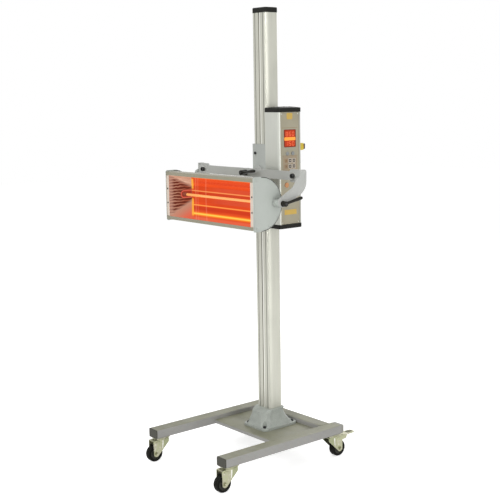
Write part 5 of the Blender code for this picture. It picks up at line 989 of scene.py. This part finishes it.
def make_stand_fixings():
    """Cap screws of the carriage and the foot, caster bolts, axle nuts and pedal pads."""
    low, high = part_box("carriage")
    screws = bmesh.new()
    for x, z in ((-0.026, high.z - 0.040), (0.026, low.z + 0.040)):
        socket_head(screws, facing(FORWARD, (AXIS.x + x, low.y - GAP, z)), 0.0065, 0.0045)
    piece("carriage_screws", screws, "black_oxide", "carriage")

    seat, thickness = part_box("mast_foot")[0].z + FOOT_BOLT_SEAT + GAP, 0.0015
    screws = bmesh.new()
    discs = bmesh.new()
    for x in (AXIS.x - FOOT_BOLT_X, AXIS.x + FOOT_BOLT_X):
        for y in (AXIS.y - FOOT_BOLT_Y, AXIS.y + FOOT_BOLT_Y):
            washer(discs, facing(UP, (x, y, seat)), 0.0045, 0.009, thickness)
            socket_head(screws, facing(UP, (x, y, seat + thickness + GAP)), 0.0072, 0.0078, 0.004,
                        FOOT_BOLT_SEAT)
    piece("foot_washers", discs, "bright", "stand")
    piece("foot_screws", screws, "black_oxide", "stand")

    for corner in CORNERS:
        centre = middle("caster_plate_" + corner)
        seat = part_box("caster_plate_" + corner)[1].z - 0.003 - GAP
        bolts = bmesh.new()
        for x in (-0.0205, 0.0205):
            for y in (-0.0275, 0.0275):
                place = (centre.x + x, centre.y + y, seat)
                hex_head(bolts, facing((0, 0, -1), place), 0.0046, 0.003)
        piece("caster_bolts_" + corner, bolts, "zinc", "stand")
        wheel = middle("caster_wheel_" + corner)
        fork_low, fork_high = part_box("caster_fork_" + corner)
        nuts = bmesh.new()
        for sign, x in ((1, fork_high.x), (-1, fork_low.x)):
            place = (x + sign * FLUSH, wheel.y, wheel.z)
            hex_head(nuts, facing((sign, 0, 0), place), 0.0056, 0.0024)
        piece("axle_nuts_" + corner, nuts, "zinc", "caster_" + corner)
        make_fork_edges(corner, wheel)

    for side in ("left", "right"):
        low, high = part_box("brake_pedal_rear_" + side)
        ribs = bmesh.new()
        for step in range(4):
            half = 0.0085 if step == 0 else 0.0115
            place = ((low.x + high.x) / 2, high.y - 0.012 - step * 0.009, high.z + FLUSH)
            add_prism(ribs, rounded(half, 0.0014, 0.0009), facing(UP, place), 0.001, 0.0004)
        piece("pedal_ribs_" + side, ribs, "black", "pedal_" + side)


make_stand_fixings()


def make_welds():
    """Painted weld beads over the seams between the cross tube and the side rails."""
    low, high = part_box("rear_cross_tube")
    front, rear, bottom, top = low.y, high.y, low.z + 0.004, high.z
    for side, sign, x in (("left", -1, low.x), ("right", 1, high.x)):
        bm = bmesh.new()
        for start, end, out, rise, half_width in (
                ((x, front + 0.004, top), (x, rear - 0.004, top), (0, 0, 1), 0.0007, 0.0032),
                ((x, rear, bottom), (x, rear, top - 0.004), (-sign, 1, 0), 0.0024, 0.003),
                ((x, front, bottom), (x, front, top - 0.024), (-sign, -1, 0), 0.0024, 0.003)):
            start, seam, out = Vector(start), Vector(end) - Vector(start), Vector(out).normalized()
            across = seam.normalized().cross(out)
            count = int(seam.length / 0.0012)
            rings = []
            for step in range(count + 1):
                share = step / count
                ripple = 1.0 + 0.18 * math.cos(step * math.pi / 2)
                taper = min(1.0, 0.35 + 4.0 * min(share, 1 - share))
                spot = start + seam * share - out * 0.0002
                rings.append(half_ring(bm, spot, across * (half_width * taper),
                                       out * (rise * ripple * taper)))
            join_rings(bm, rings)
        piece("weld_beads_" + side, bm, "frame", "stand")


make_welds()


# Studio


def seen_directly(graph, strength):
    """That strength for camera, glossy and transmission rays, and 0 for the others."""
    path = graph.add("LightPath").outputs
    seen = graph.calc("MAXIMUM", path["Is Camera Ray"], path["Is Glossy Ray"])
    return graph.times(graph.calc("MAXIMUM", seen, path["Is Transmission Ray"]), strength)


def make_stage():
    """A pale floor that stays white to the camera but keeps the shadow, and a white world."""
    half = 14.0
    bm = bmesh.new()
    bm.faces.new([bm.verts.new((x, y, -0.0004)) for x, y in (
        (-half, -half), (half, -half), (half, half), (-half, half))])
    paint = Finish("studio_floor", 0.9, 0.0, 0.0)
    paint.colour((0.80, 0.80, 0.80))
    paint.glow((1.0, 1.0, 1.0), seen_directly(paint, 0.62))
    show_mesh("studio_floor", bm, paint.material)

    world = bpy.data.worlds.new("studio_world")
    bpy.context.scene.world = world
    world.use_nodes = True
    graph = Graph(world.node_tree)
    strength = graph.calc("MAXIMUM", seen_directly(graph, 1.0), 0.50)
    graph.fill(graph.tree.nodes["Background"], {"Color": (1.0, 1.0, 1.0), "Strength": strength})


def add_light(name, place, target, sizes, power):
    light = bpy.data.lights.new(name, "AREA")
    light.shape = "RECTANGLE"
    light.size, light.size_y = sizes
    light.energy = power
    obj = show(name, light)
    obj.location = place
    obj.rotation_euler = (Vector(target) - Vector(place)).to_track_quat("-Z", "Y").to_euler()


def make_camera():
    """The photograph's camera, as fitted to the mast, the rails and the lamp."""
    azimuth, tilt, roll = (math.radians(angle) for angle in (50.518, 8.691, -0.924))
    forward = Vector((-math.sin(azimuth) * math.cos(tilt), math.cos(azimuth) * math.cos(tilt),
                      -math.sin(tilt)))
    level = Vector((math.cos(azimuth), math.sin(azimuth), 0))
    upright = level.cross(forward)
    right = math.cos(roll) * level + math.sin(roll) * upright
    up = -math.sin(roll) * level + math.cos(roll) * upright
    camera = bpy.data.cameras.new("camera")
    camera.sensor_width = 36.0
    camera.lens = 75.02
    camera.clip_end = 60.0
    matrix = Matrix((right, up, -forward)).transposed().to_4x4()
    matrix.translation = Vector((AXIS.x + 3.5024, AXIS.y - 2.9891, 1.6387))
    obj = show("camera", camera)
    obj.matrix_world = matrix
    bpy.context.scene.camera = obj


make_stage()
add_light("key", (0.7, -3.8, 3.0), (0, 0, 1.0), (2.4, 2.4), 90)
add_light("strip", (3.7, -0.2, 1.4), (0, 0, 1.1), (0.40, 2.8), 50)
add_light("rear", (-1.4, 3.6, 3.0), (0, 0, 1.0), (2.4, 2.4), 70)
make_camera()
bpy.context.scene.view_settings.view_transform = "Standard"
